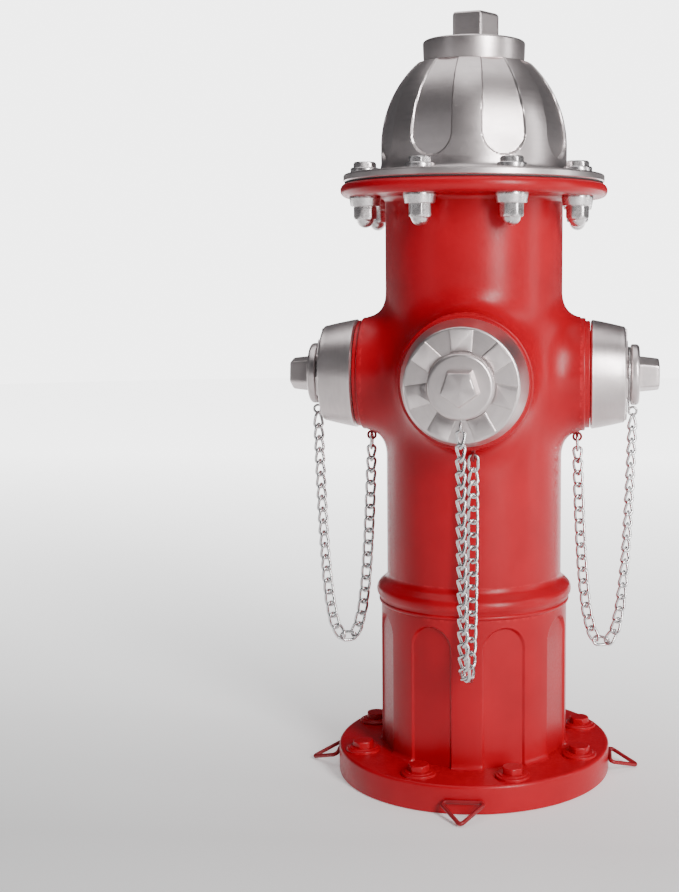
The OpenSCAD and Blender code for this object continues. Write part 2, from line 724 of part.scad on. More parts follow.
// A panel's outline seen from outside: a round foot, widest at the spring line, tapering upwards
module teardrop() {
    foot_z = bonnet_flange_t + bonnet_panel_up + bonnet_panel_w / 2;
    top_z = bonnet_flange_t + dome_foot_h + dome_h + 1;
    top_w = 2 * collar_r * tan(180 / panel_count) * 0.62;
    rotate([90, 0, 90]) linear_extrude(height = dome_r + 10) union() {
        translate([0, foot_z]) circle(r = bonnet_panel_w / 2);
        polygon([[-bonnet_panel_w / 2, foot_z], [bonnet_panel_w / 2, foot_z],
            [bonnet_panel_w / 2 - 0.6, foot_z + 10], [top_w / 2, top_z], [-top_w / 2, top_z],
            [0.6 - bonnet_panel_w / 2, foot_z + 10]]);
    }
}

module bonnet() {
    color(silver) translate([0, 0, z_bonnet]) difference() {
        rotate_extrude() bonnet_outline();
        rotate_extrude() bonnet_inside();
        round_pattern(panel_count, 0, panel_offset)
            intersection() {
                dome_skin();
                teardrop();
            }
        translate([0, 0, 10]) cylinder(r = spindle_r + running, h = z_nut - z_bonnet);
        translate([0, 0, z_nut - z_bonnet - washer_t]) cylinder(r = nut_r + 0.2, h = washer_t + 1);
        translate([0, 0, z_collar - z_bonnet + seal_z])
            wire_ring(spindle_r + running + seal_wire_r, seal_wire_r + snug);
        round_pattern(bolt_count, bolt_circle_r, bolt_offset)
            translate([0, 0, -1]) cylinder(r = bolt_hole_r, h = bonnet_flange_t + 2);
    }
}

// ---- flange bolts ----

module bolt_washers() {
    color(bright) translate([0, 0, z_dome])
        round_pattern(bolt_count, bolt_circle_r, bolt_offset) difference() {
            rotate_extrude() polygon([[0, 0], [bolt_washer_r, 0], [bolt_washer_r, bolt_washer_t - 0.9],
                [bolt_washer_r - 0.9, bolt_washer_t], [0, bolt_washer_t]]);
            translate([0, 0, -1]) cylinder(r = bolt_hole_r, h = bolt_washer_t + 2);
        }
}

module flange_bolts() {
    reach = bolt_washer_t + bonnet_flange_t + gasket_t + flange_t + under_collar_t + acorn_cover;
    color(bright) translate([0, 0, z_dome + bolt_washer_t])
        round_pattern(bolt_count, bolt_circle_r, bolt_offset) {
            intersection() {
                cylinder(r = bolt_head_r, h = bolt_head_t, $fn = 6);
                cylinder(r1 = bolt_head_r + bolt_head_t, r2 = bolt_head_r * 0.86, h = bolt_head_t);
            }
            translate([0, 0, -reach]) cylinder(r = bolt_r, h = reach);
        }
}

module flange_collars() {
    color(bright) translate([0, 0, z_flange - under_collar_t])
        round_pattern(bolt_count, bolt_circle_r, bolt_offset) difference() {
            cylinder(r1 = under_collar_r - 0.5, r2 = under_collar_r, h = under_collar_t);
            translate([0, 0, -1]) cylinder(r = bolt_hole_r, h = under_collar_t + 2);
        }
}

module acorn_nuts() {
    color(bright) translate([0, 0, z_flange - under_collar_t])
        round_pattern(bolt_count, bolt_circle_r, bolt_offset) difference() {
            union() {
                translate([0, 0, -acorn_hex_h]) cylinder(r = acorn_hex_r, h = acorn_hex_h, $fn = 6);
                translate([0, 0, -acorn_hex_h]) intersection() {
                    sphere(r = acorn_tip_r);
                    translate([0, 0, -acorn_tip_r]) cylinder(r = acorn_tip_r, h = acorn_tip_r);
                }
            }
            translate([0, 0, -acorn_cover - 0.4]) cylinder(r = bolt_r + snug, h = acorn_cover + 1);
        }
}

// ---- operating nut ----

spindle_low = z_collar - bonnet_wall - 14;
lock_z = z_spring + inner_top - room;

module spindle_seal() {
    color(black) translate([0, 0, z_collar + seal_z])
        difference() {
            wire_ring(spindle_r + running + seal_wire_r, seal_wire_r);
            translate([0, 0, -5]) cylinder(r = spindle_r + running, h = 10);
        }
}

module thrust_washer() {
    color(steel) translate([0, 0, z_nut - washer_t]) tube(nut_r, spindle_r + running, washer_t);
}

module operating_nut() {
    color(silver) translate([0, 0, z_nut + running]) rotate([0, 0, nut_turn - 90]) difference() {
        intersection() {
            cylinder(r = nut_r, h = nut_h, $fn = 5);
            cylinder(r1 = nut_r + nut_h * 1.1, r2 = nut_r * 0.88, h = nut_h);
        }
        translate([0, 0, -1]) cylinder(r = spindle_r + press, h = nut_h / 2 + 1 + press);
    }
}

module spindle() {
    color(steel) translate([0, 0, spindle_low])
        cylinder(r = spindle_r, h = z_nut + running + nut_h / 2 - spindle_low);
}

module spindle_lock_nut() {
    lock_h = 6;
    color(steel) translate([0, 0, lock_z - lock_h]) difference() {
        cylinder(r = spindle_r * 1.9, h = lock_h, $fn = 6);
        translate([0, 0, -1]) cylinder(r = spindle_r + press, h = lock_h + 2);
    }
}

foot_flange();
foot_washers();
foot_bolts();
stake_loop_front();
stake_loop_left();
stake_loop_right();
stake_loop_back();
lower_barrel();
joint_ring();
upper_barrel();
outlet_front();
outlet_left();
outlet_right();
top_flange();
nozzle_insert_front();
nozzle_insert_left();
nozzle_insert_right();
chain_eye_front();
chain_eye_left();
chain_eye_right();
bonnet_gasket();
bonnet();
bolt_washers();
flange_bolts();
flange_collars();
acorn_nuts();
spindle_seal();
thrust_washer();
operating_nut();
spindle();
spindle_lock_nut();
cap_front();
cap_left();
cap_right();
cap_gasket_front();
cap_gasket_left();
cap_gasket_right();
keeper_ring_front();
keeper_ring_left();
keeper_ring_right();
chain_hook_link_front();
chain_hook_link_left();
chain_hook_link_right();
chain_cap_leg_front();
chain_cap_leg_left();
chain_cap_leg_right();
chain_body_leg_front();
chain_body_leg_left();
chain_body_leg_right();
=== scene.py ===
from math import acos, atan2, cos, pi, radians, sin, tan

import bmesh
import bpy
import numpy as np
from mathutils import Matrix, Vector


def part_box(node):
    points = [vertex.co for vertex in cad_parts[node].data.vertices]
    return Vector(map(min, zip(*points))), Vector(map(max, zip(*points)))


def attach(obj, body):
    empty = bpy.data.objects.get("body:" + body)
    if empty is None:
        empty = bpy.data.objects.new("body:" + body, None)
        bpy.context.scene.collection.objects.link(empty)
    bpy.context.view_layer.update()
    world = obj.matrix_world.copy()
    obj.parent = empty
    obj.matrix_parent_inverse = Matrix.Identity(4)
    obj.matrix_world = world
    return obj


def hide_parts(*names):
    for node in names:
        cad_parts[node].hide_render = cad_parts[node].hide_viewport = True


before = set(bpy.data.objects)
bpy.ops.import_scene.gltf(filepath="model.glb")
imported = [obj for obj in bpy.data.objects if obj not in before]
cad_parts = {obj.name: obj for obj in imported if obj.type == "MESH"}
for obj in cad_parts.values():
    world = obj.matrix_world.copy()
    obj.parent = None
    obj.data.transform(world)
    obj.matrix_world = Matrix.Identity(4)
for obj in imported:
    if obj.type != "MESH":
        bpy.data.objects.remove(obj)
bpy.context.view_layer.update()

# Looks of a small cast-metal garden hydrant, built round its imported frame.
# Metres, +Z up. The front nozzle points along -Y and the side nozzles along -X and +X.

MM = 0.001
SIDES = ("front", "left", "right")
TURN = {"front": -pi / 2, "left": pi, "right": 0.0}


# ---- Sizes in millimetres, most of them read from the frame ----
# A name with z_ is a height, and one with s_ a distance from the middle along a nozzle.

def low(node):
    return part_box(node)[0] / MM


def high(node):
    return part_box(node)[1] / MM


COLLAR_STEP = 1.4      # a nozzle's collar is this much smaller than its outlet
FOOT_CHAMFER = 2.2     # weld fillet at the barrel's foot
FOOT_WASHER_R = 8.2
FOOT_WASHER_T = 1.8
WASHER_HOLE_R = 2.9    # hole in the foot's washers and in the collars under the flange
BARREL_H = 182.5       # upper barrel, from its lower end to the top flange
CAP_GAP = 2.5          # from the end of an outlet to the back edge of its cap
COLLAR_GAP = 0.3       # from a collar to the back edge of its cap
CAP_SKIRT = 16.7       # from a cap's back edge to its face
HUB_RISE = 2.6         # from a cap's face to the hub: raised bars and the keeper ring's groove
HUB_T = 4.2
UNDER_COLLAR_R = 7.4   # collar washers under the top flange
UNDER_COLLAR_T = 4.7
BOLT_COUNT = 8
PANELS = 8
SECTOR = 2 * pi / PANELS

foot_r = high("foot_flange").x
foot_t = high("foot_flange").z
foot_bore_r = 38.5
lower_r = high("lower_barrel").x - FOOT_CHAMFER
z_ring = high("lower_barrel").z
ring_r = high("joint_ring").x
barrel_r = high("upper_barrel").x
z_barrel = low("upper_barrel").z
z_gasket = high("upper_barrel").z
flange_r = high("top_flange").x
flange_t = z_gasket - z_barrel - BARREL_H
z_flange = z_gasket - flange_t
z_bonnet = low("bonnet").z
z_dome = low("bolt_washers").z
z_nut = high("bonnet").z
z_nozzle = (low("cap_left").z + high("cap_left").z) / 2
wall = 3.6
outlet_r = {s: high("nozzle_insert_" + s).z - z_nozzle + COLLAR_STEP for s in SIDES}
cap_r = {s: high("cap_" + s).z - z_nozzle for s in SIDES}
s_cap = -high("cap_left").x
s_tip = -low("cap_left").x
s_outlet = s_cap - CAP_GAP
s_collar = s_cap - COLLAR_GAP
s_face = s_cap + CAP_SKIRT
s_hub = s_face + HUB_RISE
s_nut = s_hub + HUB_T
bolt_circle = (high("flange_collars").x - UNDER_COLLAR_R) / cos(pi / BOLT_COUNT)


# ---- Mesh helpers: a shape is a list of points and a list of faces ----

def grid(points, wrap_rows=False, wrap_cols=True):
    """A sheet of quads over rows and columns of points, wrapped round where asked."""
    rows, cols = points.shape[:2]
    index = np.arange(rows * cols).reshape(rows, cols)
    below = index if wrap_rows else index[:-1]
    above = np.roll(index, -1, 0) if wrap_rows else index[1:]
    if wrap_cols:
        right_below, right_above = np.roll(below, -1, 1), np.roll(above, -1, 1)
    else:
        right_below, right_above = below[:, 1:], above[:, 1:]
        below, above = below[:, :-1], above[:, :-1]
    quads = np.stack([below, right_below, right_above, above], -1).reshape(-1, 4)
    return points.reshape(-1, 3), quads.tolist()


def join(*shapes):
    """Several shapes as one list of points and one list of faces."""
    points, faces, count = [], [], 0
    for some_points, some_faces in shapes:
        points.append(np.asarray(some_points, float))
        faces += [[i + count for i in face] for face in some_faces]
        count += len(some_points)
    return np.concatenate(points), faces


def placed(shape, matrix):
    """A shape moved by a matrix."""
    points = np.asarray(shape[0]) @ np.array(matrix.to_3x3()).T + np.array(matrix.translation)
    return points, shape[1]


def turned(shape, angle, axis="Z"):
    return placed(shape, Matrix.Rotation(angle, 4, axis))


def shifted(shape, x=0.0, y=0.0, z=0.0):
    return placed(shape, Matrix.Translation((x, y, z)))


def outline(corners, steps=5):
    """An outline from (r, z, fillet radius) corners, with each fillet drawn as an arc."""
    out = []
    count = len(corners)
    for i, (x, y, fillet) in enumerate(corners):
        corner = np.array([x, y], float)
        if fillet <= 0:
            out.append(corner)
            continue
        to_last = np.array(corners[i - 1][:2], float) - corner
        to_next = np.array(corners[(i + 1) % count][:2], float) - corner
        to_last /= np.linalg.norm(to_last)
        to_next /= np.linalg.norm(to_next)
        half = acos(float(np.clip(to_last @ to_next, -1, 1))) / 2
        middle = to_last + to_next
        centre = corner + middle / np.linalg.norm(middle) * fillet / sin(half)
        start = corner + to_last * fillet / tan(half) - centre
        end = corner + to_next * fillet / tan(half) - centre
        first = atan2(start[1], start[0])
        sweep = (atan2(end[1], end[0]) - first + pi) % (2 * pi) - pi
        for k in range(steps + 1):
            angle = first + sweep * k / steps
            out.append(centre + fillet * np.array([cos(angle), sin(angle)]))
    return np.array(out)


def curve(centre, radius, first, last, steps):
    """Points of an arc in an outline; angles in degrees."""
    angles = np.radians(np.linspace(first, last, steps + 1))
    return np.stack([centre[0] + radius * np.cos(angles), centre[1] + radius * np.sin(angles)], 1)


def around(count):
    """Evenly spaced angles of a full turn."""
    return np.arange(count) * 2 * pi / count


def revolve(profile, angles=None, closed=True):
    """Turns an outline round Z. A radius or height may be one number per angle."""
    angles = around(160) if angles is None else angles
    r, z = profile[..., 0], profile[..., 1]
    if r.ndim == 1:
        r, z = r[:, None], z[:, None]
    r, z, angles = np.broadcast_arrays(r, z, np.atleast_2d(angles))
    points = np.stack([r * np.cos(angles), r * np.sin(angles), z], -1)
    return grid(points, wrap_rows=closed)


def smooth(x):
    """0 below 0, 1 above 1, and an S-curve between."""
    x = np.clip(x, 0, 1)
    return x * x * (3 - 2 * x)


def soft_min(a, b, k):
    """The smaller of two values, blended where they differ by less than k."""
    h = np.clip(0.5 + 0.5 * (b - a) / k, 0, 1)
    return b * (1 - h) + a * h - k * h * (1 - h)


def polygon_columns(sides, per_side=14):
    """Angles round a polygon, closer together at its corners."""
    share = np.sin(np.linspace(-pi / 2, pi / 2, per_side, endpoint=False)) / 2
    return np.concatenate([(k + share) * 2 * pi / sides for k in range(sides)])


def polygon_radius(angles, sides, corner_r, soft):
    """Radius of a regular polygon with rounded corners. Angle 0 is the middle of a flat."""
    step = 2 * pi / sides
    off = (angles + step / 2) % step - step / 2
    flat = corner_r * cos(pi / sides) / np.cos(off)
    return soft_min(flat, np.full_like(flat, corner_r - soft / 3), soft)


def nut(sides, rows, soft=0.5, per_side=14):
    """A many-sided solid from rows of (height, corner radius or 0, radius of the round that trims it)."""
    angles = polygon_columns(sides, per_side)
    radii, heights = [], []
    for z, corner_r, round_r in rows:
        if corner_r > 0:
            flat = polygon_radius(angles, sides, corner_r, soft)
            radii.append(soft_min(flat, np.full_like(flat, round_r), 0.25))
        else:
            radii.append(np.full_like(angles, round_r))
        heights.append(z)
    radii = np.array(radii)
    heights = np.broadcast_to(np.array(heights)[:, None], radii.shape)
    return revolve(np.stack([radii, heights], -1), angles, closed=False)


def ring_of(shape, count, radius, offset):
    """Copies of a shape round Z."""
    return join(*[turned(shifted(shape, x=radius), offset + k * 2 * pi / count) for k in range(count)])


def along_nozzle(shape, side):
    """A shape drawn round +Z goes on a nozzle: +Z becomes outwards, and +X up."""
    matrix = (
        Matrix.Translation((0, 0, z_nozzle))
        @ Matrix.Rotation(TURN[side], 4, "Z")
        @ Matrix.Rotation(pi / 2, 4, "Y")
        @ Matrix.Rotation(pi, 4, "Z")
    )
    return placed(shape, matrix)


def piece(name, body, material, shape, replaced, sharp=35):
    """Makes one Blender object of a shape in millimetres, riding on a CAD body."""
    points, faces = shape
    mesh = bpy.data.meshes.new(name)
    mesh.from_pydata((np.asarray(points) * MM).tolist(), [], faces)
    tidy = bmesh.new()
    tidy.from_mesh(mesh)
    bmesh.ops.remove_doubles(tidy, verts=tidy.verts, dist=2e-6)
    bmesh.ops.dissolve_degenerate(tidy, edges=tidy.edges, dist=1e-7)
    bmesh.ops.recalc_face_normals(tidy, faces=tidy.faces)
    tidy.to_mesh(mesh)
    tidy.free()
    mesh.polygons.foreach_set("use_smooth", [True] * len(mesh.polygons))
    mesh.set_sharp_from_angle(angle=radians(sharp))
    mesh.materials.append(material)
    obj = bpy.data.objects.new(name, mesh)
    bpy.context.scene.collection.objects.link(obj)
    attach(obj, body)
    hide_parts(*replaced)


# ---- Materials ----

COLOUR_A, COLOUR_B = 6, 7       # a Mix node's colour inputs
MIXED_COLOUR = 2                # and its colour output


class Nodes:
    """A short way to write a material's node tree."""

    def __init__(self, name):
        self.material = bpy.data.materials.new(name)
        self.material.use_nodes = True
        self.tree = self.material.node_tree
        self.shader = self.tree.nodes["Principled BSDF"]

    def add(self, kind, inputs=(), **settings):
        node = self.tree.nodes.new(kind)
        for key, value in settings.items():
            setattr(node, key, value)
        for key, value in dict(inputs).items():
            self.feed(node.inputs[key], value)
        return node

    def feed(self, socket, value):
        if isinstance(value, bpy.types.NodeSocket):
            self.tree.links.new(value, socket)
        else:
            socket.default_value = value

    def math(self, operation, a, b=0.0):
        node = self.add("ShaderNodeMath", operation=operation)
        self.feed(node.inputs[0], a)
        self.feed(node.inputs[1], b)
        return node.outputs[0]

    def noise(self, scale, detail=2.0, roughness=0.5, vector=None, distortion=0.0):
        inputs = {"Scale": scale, "Detail": detail, "Roughness": roughness, "Distortion": distortion}
        inputs["Vector"] = self.place() if vector is None else vector
        return self.add("ShaderNodeTexNoise", inputs).outputs["Fac"]

    def place(self):
        """Position on the piece in its own frame, in metres."""
        return self.add("ShaderNodeTexCoord").outputs["Object"]

    def spread(self, value, low_in, high_in, low_out, high_out):
        """Maps a value from one range to another."""
        inputs = {
            "Value": value, "From Min": low_in, "From Max": high_in,
            "To Min": low_out, "To Max": high_out}
        return self.add("ShaderNodeMapRange", inputs).outputs["Result"]

    def mix(self, share, one, other):
        node = self.add("ShaderNodeMix", data_type="RGBA")
        self.feed(node.inputs["Factor"], share)
        self.feed(node.inputs[COLOUR_A], one)
        self.feed(node.inputs[COLOUR_B], other)
        return node.outputs[MIXED_COLOUR]

    def bump(self, height, depth, strength=1.0, under=None):
        inputs = {"Height": height, "Distance": depth, "Strength": strength}
        if under is not None:
            inputs["Normal"] = under
        return self.add("ShaderNodeBump", inputs).outputs["Normal"]

    def edges(self, sharpness=0.06):
        """1 on outer edges, 0 elsewhere: the mask of a painted highlight along them."""
        pointy = self.add("ShaderNodeNewGeometry").outputs["Pointiness"]
        return self.spread(pointy, 0.5 + sharpness / 2, 0.5 + sharpness * 1.5, 0.0, 1.0)

    def rings(self, axis, height):
        """Coordinates of turning marks: radius, distance along the axis, and only a little angle."""
        parts = self.add("ShaderNodeSeparateXYZ", {"Vector": self.place()}).outputs
        x, y, z = parts[0], parts[1], self.math("SUBTRACT", parts[2], height)
        along, a, b = {"X": (x, y, z), "Y": (y, x, z), "Z": (z, x, y)}[axis]
        squared = self.math("ADD", self.math("MULTIPLY", a, a), self.math("MULTIPLY", b, b))
        radius = self.math("SQRT", squared)
        angle = self.math("MULTIPLY", self.math("ARCTAN2", a, b), 0.004)
        return self.add("ShaderNodeCombineXYZ", {"X": radius, "Y": along, "Z": angle}).outputs[0]


def paint(name, light, dark, rough, coat, peel=1.0):
    """Sprayed gloss enamel over a sand casting: faint orange peel, soft unevenness, and a patchy painted
    highlight on outer edges.
    """
    n = Nodes(name)
    patches = n.spread(n.noise(38.0, 3.0), 0.35, 0.65, 0.0, 1.0)
    colour = n.mix(patches, dark, light)
    # painted highlight: outer edges lightened in noise patches
    wear_and_sheen = n.math("MULTIPLY", n.edges(), n.spread(n.noise(420.0, 4.0), 0.45, 0.6, 0.0, 0.5))
    # the lighter red of that painted highlight on the edges
    thin = tuple(min(1.0, c * 1.5 + 0.02) for c in light[:3]) + (1.0,)
    n.feed(n.shader.inputs["Base Color"], n.mix(wear_and_sheen, colour, thin))
    specks = n.noise(900.0, 3.0)
    n.feed(n.shader.inputs["Roughness"], n.spread(specks, 0.3, 0.7, rough - 0.05, rough + 0.07))
    n.shader.inputs["Specular IOR Level"].default_value = 0.3
    n.shader.inputs["Coat Weight"].default_value = coat
    n.shader.inputs["Coat Roughness"].default_value = 0.16
    casting = n.bump(n.noise(95.0, 3.0), 0.00025 * peel, 0.35)
    n.feed(n.shader.inputs["Normal"], n.bump(n.noise(620.0, 2.0), 0.00003 * peel, 0.5, casting))
    return n.material


def brushed(name, axis, height, light, dark, rough):
    """Satin cast metal with fine turning marks round its axis, a little tarnish, and a painted highlight on
    outer edges.
    """
    n = Nodes(name)
    rings = n.rings(axis, height)
    fine = n.noise(2600.0, 3.0, 0.6, rings)
    bands = n.noise(420.0, 2.0, 0.5, rings)
    tarnish = n.spread(n.noise(55.0, 5.0, 0.6), 0.35, 0.7, 0.0, 1.0)
    streaks = n.spread(bands, 0.35, 0.65, 0.0, 0.35)
    colour = n.mix(n.math("MAXIMUM", n.math("MULTIPLY", tarnish, 0.55), streaks), light, dark)
    # painted highlight: outer edges mixed towards a lighter silver
    bright = tuple(min(1.0, c * 1.35) for c in light[:3]) + (1.0,)
    n.feed(n.shader.inputs["Base Color"], n.mix(n.math("MULTIPLY", n.edges(), 0.7), colour, bright))
    n.shader.inputs["Metallic"].default_value = 1.0
    wear_and_sheen = n.math("ADD", n.math("MULTIPLY", fine, 0.14), n.math("MULTIPLY", tarnish, 0.06))
    n.feed(n.shader.inputs["Roughness"], n.math("ADD", wear_and_sheen, rough - 0.1))
    pits = n.bump(n.noise(700.0, 4.0), 0.00004, 0.5)
    n.feed(n.shader.inputs["Normal"], n.bump(fine, 0.00002, 0.6, pits))
    return n.material


def plated(name, light, dark, rough, scale=1.0):
    """Bright plating with fine scratches and faint cloudiness."""
    n = Nodes(name)
    cloud = n.spread(n.noise(260.0 * scale, 4.0), 0.35, 0.65, 0.0, 1.0)
    n.feed(n.shader.inputs["Base Color"], n.mix(cloud, light, dark))
    n.shader.inputs["Metallic"].default_value = 1.0
    scratches = n.noise(1500.0 * scale, 5.0, 0.7, distortion=1.5)
    n.feed(n.shader.inputs["Roughness"], n.spread(scratches, 0.3, 0.7, rough - 0.05, rough + 0.1))
    n.feed(n.shader.inputs["Normal"], n.bump(scratches, 0.00001, 0.5))
    return n.material


def soft_rubber(name):
    """Dull black rubber with a fine grain."""
    n = Nodes(name)
    colour = n.mix(n.noise(300.0, 3.0), (0.02, 0.02, 0.02, 1), (0.05, 0.05, 0.05, 1))
    n.feed(n.shader.inputs["Base Color"], colour)
    n.feed(n.shader.inputs["Roughness"], n.spread(n.noise(1200.0, 2.0), 0.3, 0.7, 0.65, 0.85))
    n.feed(n.shader.inputs["Normal"], n.bump(n.noise(1800.0, 2.0), 0.00002, 0.6))
    return n.material


SILVER_LIGHT = (0.74, 0.67, 0.665, 1)
SILVER_DARK = (0.50, 0.445, 0.445, 1)
red = paint("red_enamel", (0.42, 0.0, 0.009, 1), (0.36, 0.0, 0.007, 1), 0.33, 0.0)
dark_wire = paint("painted_wire", (0.30, 0.006, 0.012, 1), (0.17, 0.004, 0.008, 1), 0.42, 0.2, 0.5)
silver_z = brushed("satin_cast_metal_z", "Z", 0.0, SILVER_LIGHT, SILVER_DARK, 0.36)
silver_x = brushed("satin_cast_metal_x", "X", z_nozzle * MM, SILVER_LIGHT, SILVER_DARK, 0.36)
silver_y = brushed("satin_cast_metal_y", "Y", z_nozzle * MM, SILVER_LIGHT, SILVER_DARK, 0.36)
silver_of = {"front": silver_y, "left": silver_x, "right": silver_x}
chrome = plated("bright_plating", (0.82, 0.78, 0.78, 1), (0.64, 0.60, 0.60, 1), 0.27)
zinc = plated("zinc_chain", (0.82, 0.81, 0.81, 1), (0.60, 0.59, 0.60, 1), 0.2, 2.0)
keeper = plated("keeper_wire", (0.62, 0.60, 0.60, 1), (0.42, 0.41, 0.41, 1), 0.25)
steel = plated("plain_steel", (0.50, 0.48, 0.48, 1), (0.34, 0.33, 0.33, 1), 0.28)
rubber = soft_rubber("rubber")


# ---- Foot ----

def foot_flange():
    profile = outline([
        (foot_bore_r, 0, 0.4), (foot_r, 0, 0.5), (foot_r, foot_t, 1.5), (foot_bore_r, foot_t, 0)])
    return revolve(profile, around(192))


def foot_washer():
    r, t = FOOT_WASHER_R, FOOT_WASHER_T
    return revolve(outline([
        (WASHER_HOLE_R, 0, 0), (r, 0, 0), (r, t * 0.62, 0.45), (r - 1.3, t * 0.72, 0.3), (r - 1.7, t, 0.25),
        (WASHER_HOLE_R, t, 0)]), around(64))


def hex_head(corner_r, height, dish=0.12):
    """A forged hexagon head: chamfered corners and a slightly crowned top."""
    top = corner_r * 0.87
    side_h = height * 0.62
    rows = [(0, corner_r, corner_r), (side_h, corner_r, corner_r)]
    for k in (1, 2, 3):
        rows.append((side_h + height * 0.3 * k / 3, corner_r, corner_r - (corner_r - top) * k / 3))
    rows += [(height - dish * 0.35, corner_r, top - 0.25), (height, 0, top * 0.78)]
    rows.append((height + dish * 0.4, 0, 0.001))
    return rows


def foot_bolt():
    r, t = 5.4, 3.0
    rows = [(-0.1, 0, 0.001), (-0.1, r, r)] + hex_head(r, t)
    return nut(6, rows, soft=0.9, per_side=12)


def build_foot():
    piece("foot_casting", "hydrant", red, foot_flange(), ["foot_flange"])
    circle = (low("foot_washers").x * -1 - FOOT_WASHER_R) / cos(pi / BOLT_COUNT)
    washers = ring_of(foot_washer(), BOLT_COUNT, circle, pi / BOLT_COUNT)
    piece("foot_washer_set", "hydrant", red, shifted(washers, z=foot_t), ["foot_washers"])
    bolts = join(*[
        turned(shifted(turned(foot_bolt(), k * 0.9), x=circle), (k + 0.5) * 2 * pi / BOLT_COUNT)
        for k in range(BOLT_COUNT)])
    bolts = shifted(bolts, z=foot_t + FOOT_WASHER_T)
    piece("foot_bolt_set", "hydrant", red, bolts, ["foot_bolts"])


# ---- Lower barrel: eight flat arched panels let into a round casting ----

def panel_cut(radius, off, half_w, edge_depth):
    """Radius of a flat panel that lies edge_depth under the round surface at its own edges."""
    edge = np.arcsin(np.clip(half_w / radius, 0, 0.95))
    return (radius - edge_depth) * np.cos(edge) / np.cos(off)


def sector_off(angles, offset):
    """Angle from the middle of the nearest panel."""
    return (angles - offset + SECTOR / 2) % SECTOR - SECTOR / 2


def lower_barrel():
    half_w, top_gap, edge_depth, soft = 10.2, 4.5, 0.85, 0.55
    arch_z = z_ring - top_gap - half_w
    foot = curve((lower_r + FOOT_CHAMFER, foot_t + FOOT_CHAMFER), FOOT_CHAMFER, 262, 185, 6)
    heights = np.concatenate([
        np.linspace(foot_t + 2.4, arch_z - 4, 40), np.arange(arch_z - 3.5, z_ring - 3, 0.42),
        [z_ring - 2, z_ring]])
    outside = np.concatenate([foot, np.stack([np.full_like(heights, lower_r), heights], 1)])
    angles = around(PANELS * 84)
    off = sector_off(angles, pi / PANELS)[None, :]
    r, z = outside[:, :1], outside[:, 1:]
    across = lower_r * np.sin(off)
    inside = half_w - np.where(z > arch_z, np.hypot(across, z - arch_z), np.abs(across) + 0 * z)
    share = smooth((inside + soft) / (2 * soft))
    cut = np.minimum(panel_cut(lower_r, off, half_w, edge_depth), r)
    radius = r + (cut - r) * share
    rim = np.full((1, len(angles)), lower_r - wall)
    radius = np.concatenate([rim, radius, rim])
    height = np.concatenate([np.full_like(rim, foot_t), z + 0 * off, np.full_like(rim, z_ring)])
    return revolve(np.stack([radius, height], -1), angles)


def joint_ring():
    top = z_barrel
    height = top - z_ring
    bead = height * 0.3
    crest = z_ring + height * 0.44
    profile = np.concatenate([
        [[lower_r - wall, z_ring], [lower_r + 0.55, z_ring + 0.02]],
        curve((lower_r + 0.2, z_ring + 1.1), 1.0, -50, 60, 5),
        curve((ring_r - bead, crest), bead, -42, 52, 10),
        curve((barrel_r + 4.3, top + 0.4), 4.3, 232, 184, 7),
        [[barrel_r, top], [barrel_r - wall, top]]])
    return revolve(profile, around(192))


# ---- Upper barrel with its three outlets, blended by soft fillets ----

OUTLET_CUT = 2.4        # the last bit of an outlet is a separate turned ring
FILLET = 13.0           # reach of the blend between the barrel and an outlet
VOXEL = 1.3
SPARE = 3               # rough shape kept past each end until the exact cut


def barrel_field(p):
    """Distance-like field of the barrel and the outlets, 0 on the blended surface."""
    x, y, z = p[:, 0], p[:, 1], p[:, 2] - z_nozzle
    field = np.hypot(x, y) - barrel_r
    for side in SIDES:
        ahead = np.array([cos(TURN[side]), sin(TURN[side])])
        along = x * ahead[0] + y * ahead[1]
        across = x * -ahead[1] + y * ahead[0]
        pipe = np.hypot(across, z) - outlet_r[side]
        pipe = np.maximum(pipe, -along)
        k = FILLET
        h = np.maximum(k - np.abs(field - pipe), 0) / k
        field = np.minimum(field, pipe) - h * h * k / 4
    return field


def push_to_surface(points):
    """Moves points onto the zero of the field by Newton steps along its gradient."""
    step = 0.02
    for _ in range(7):
        value = barrel_field(points)
        slope = np.stack([
            (barrel_field(points + d) - barrel_field(points - d)) / (2 * step)
            for d in np.eye(3) * step], 1)
        points = points - slope * (value / np.maximum((slope ** 2).sum(1), 0.05))[:, None]
    return points


def solid_pipe(radius, start, end, count=96):
    """A plain closed cylinder along Z."""
    profile = np.array([[0.001, start], [radius, start], [radius, end], [0.001, end]])
    return revolve(profile, around(count), closed=False)


def even_mesh(points, faces):
    """A rough closed shape, remeshed into even quads by a voxel grid."""
    mesh = bpy.data.meshes.new("rough_barrel")
    mesh.from_pydata(points.tolist(), [], faces)
    rough = bpy.data.objects.new("rough_barrel", mesh)
    bpy.context.scene.collection.objects.link(rough)
    remesh = rough.modifiers.new("even", "REMESH")
    remesh.mode = "VOXEL"
    remesh.voxel_size = VOXEL
    shown = rough.evaluated_get(bpy.context.evaluated_depsgraph_get())
    evened = shown.to_mesh()
    cut = bmesh.new()
    cut.from_mesh(evened)
    shown.to_mesh_clear()
    bpy.data.objects.remove(rough)
    bpy.data.meshes.remove(mesh)
    return cut


def along_axis(points, side):
    """Distance of each point from the middle, along a nozzle."""
    return points[:, 0] * cos(TURN[side]) + points[:, 1] * sin(TURN[side])


def open_ends(cut):
    """Takes away the rough ends of the barrel and of the outlets."""
    where = np.array([v.co for v in cut.verts])
    ends = (where[:, 2] < z_barrel - SPARE) | (where[:, 2] > z_gasket + SPARE)
    for side in SIDES:
        ends |= along_axis(where, side) > s_outlet + SPARE
    bmesh.ops.delete(cut, geom=[v for v, gone in zip(cut.verts, ends) if gone], context="VERTS")


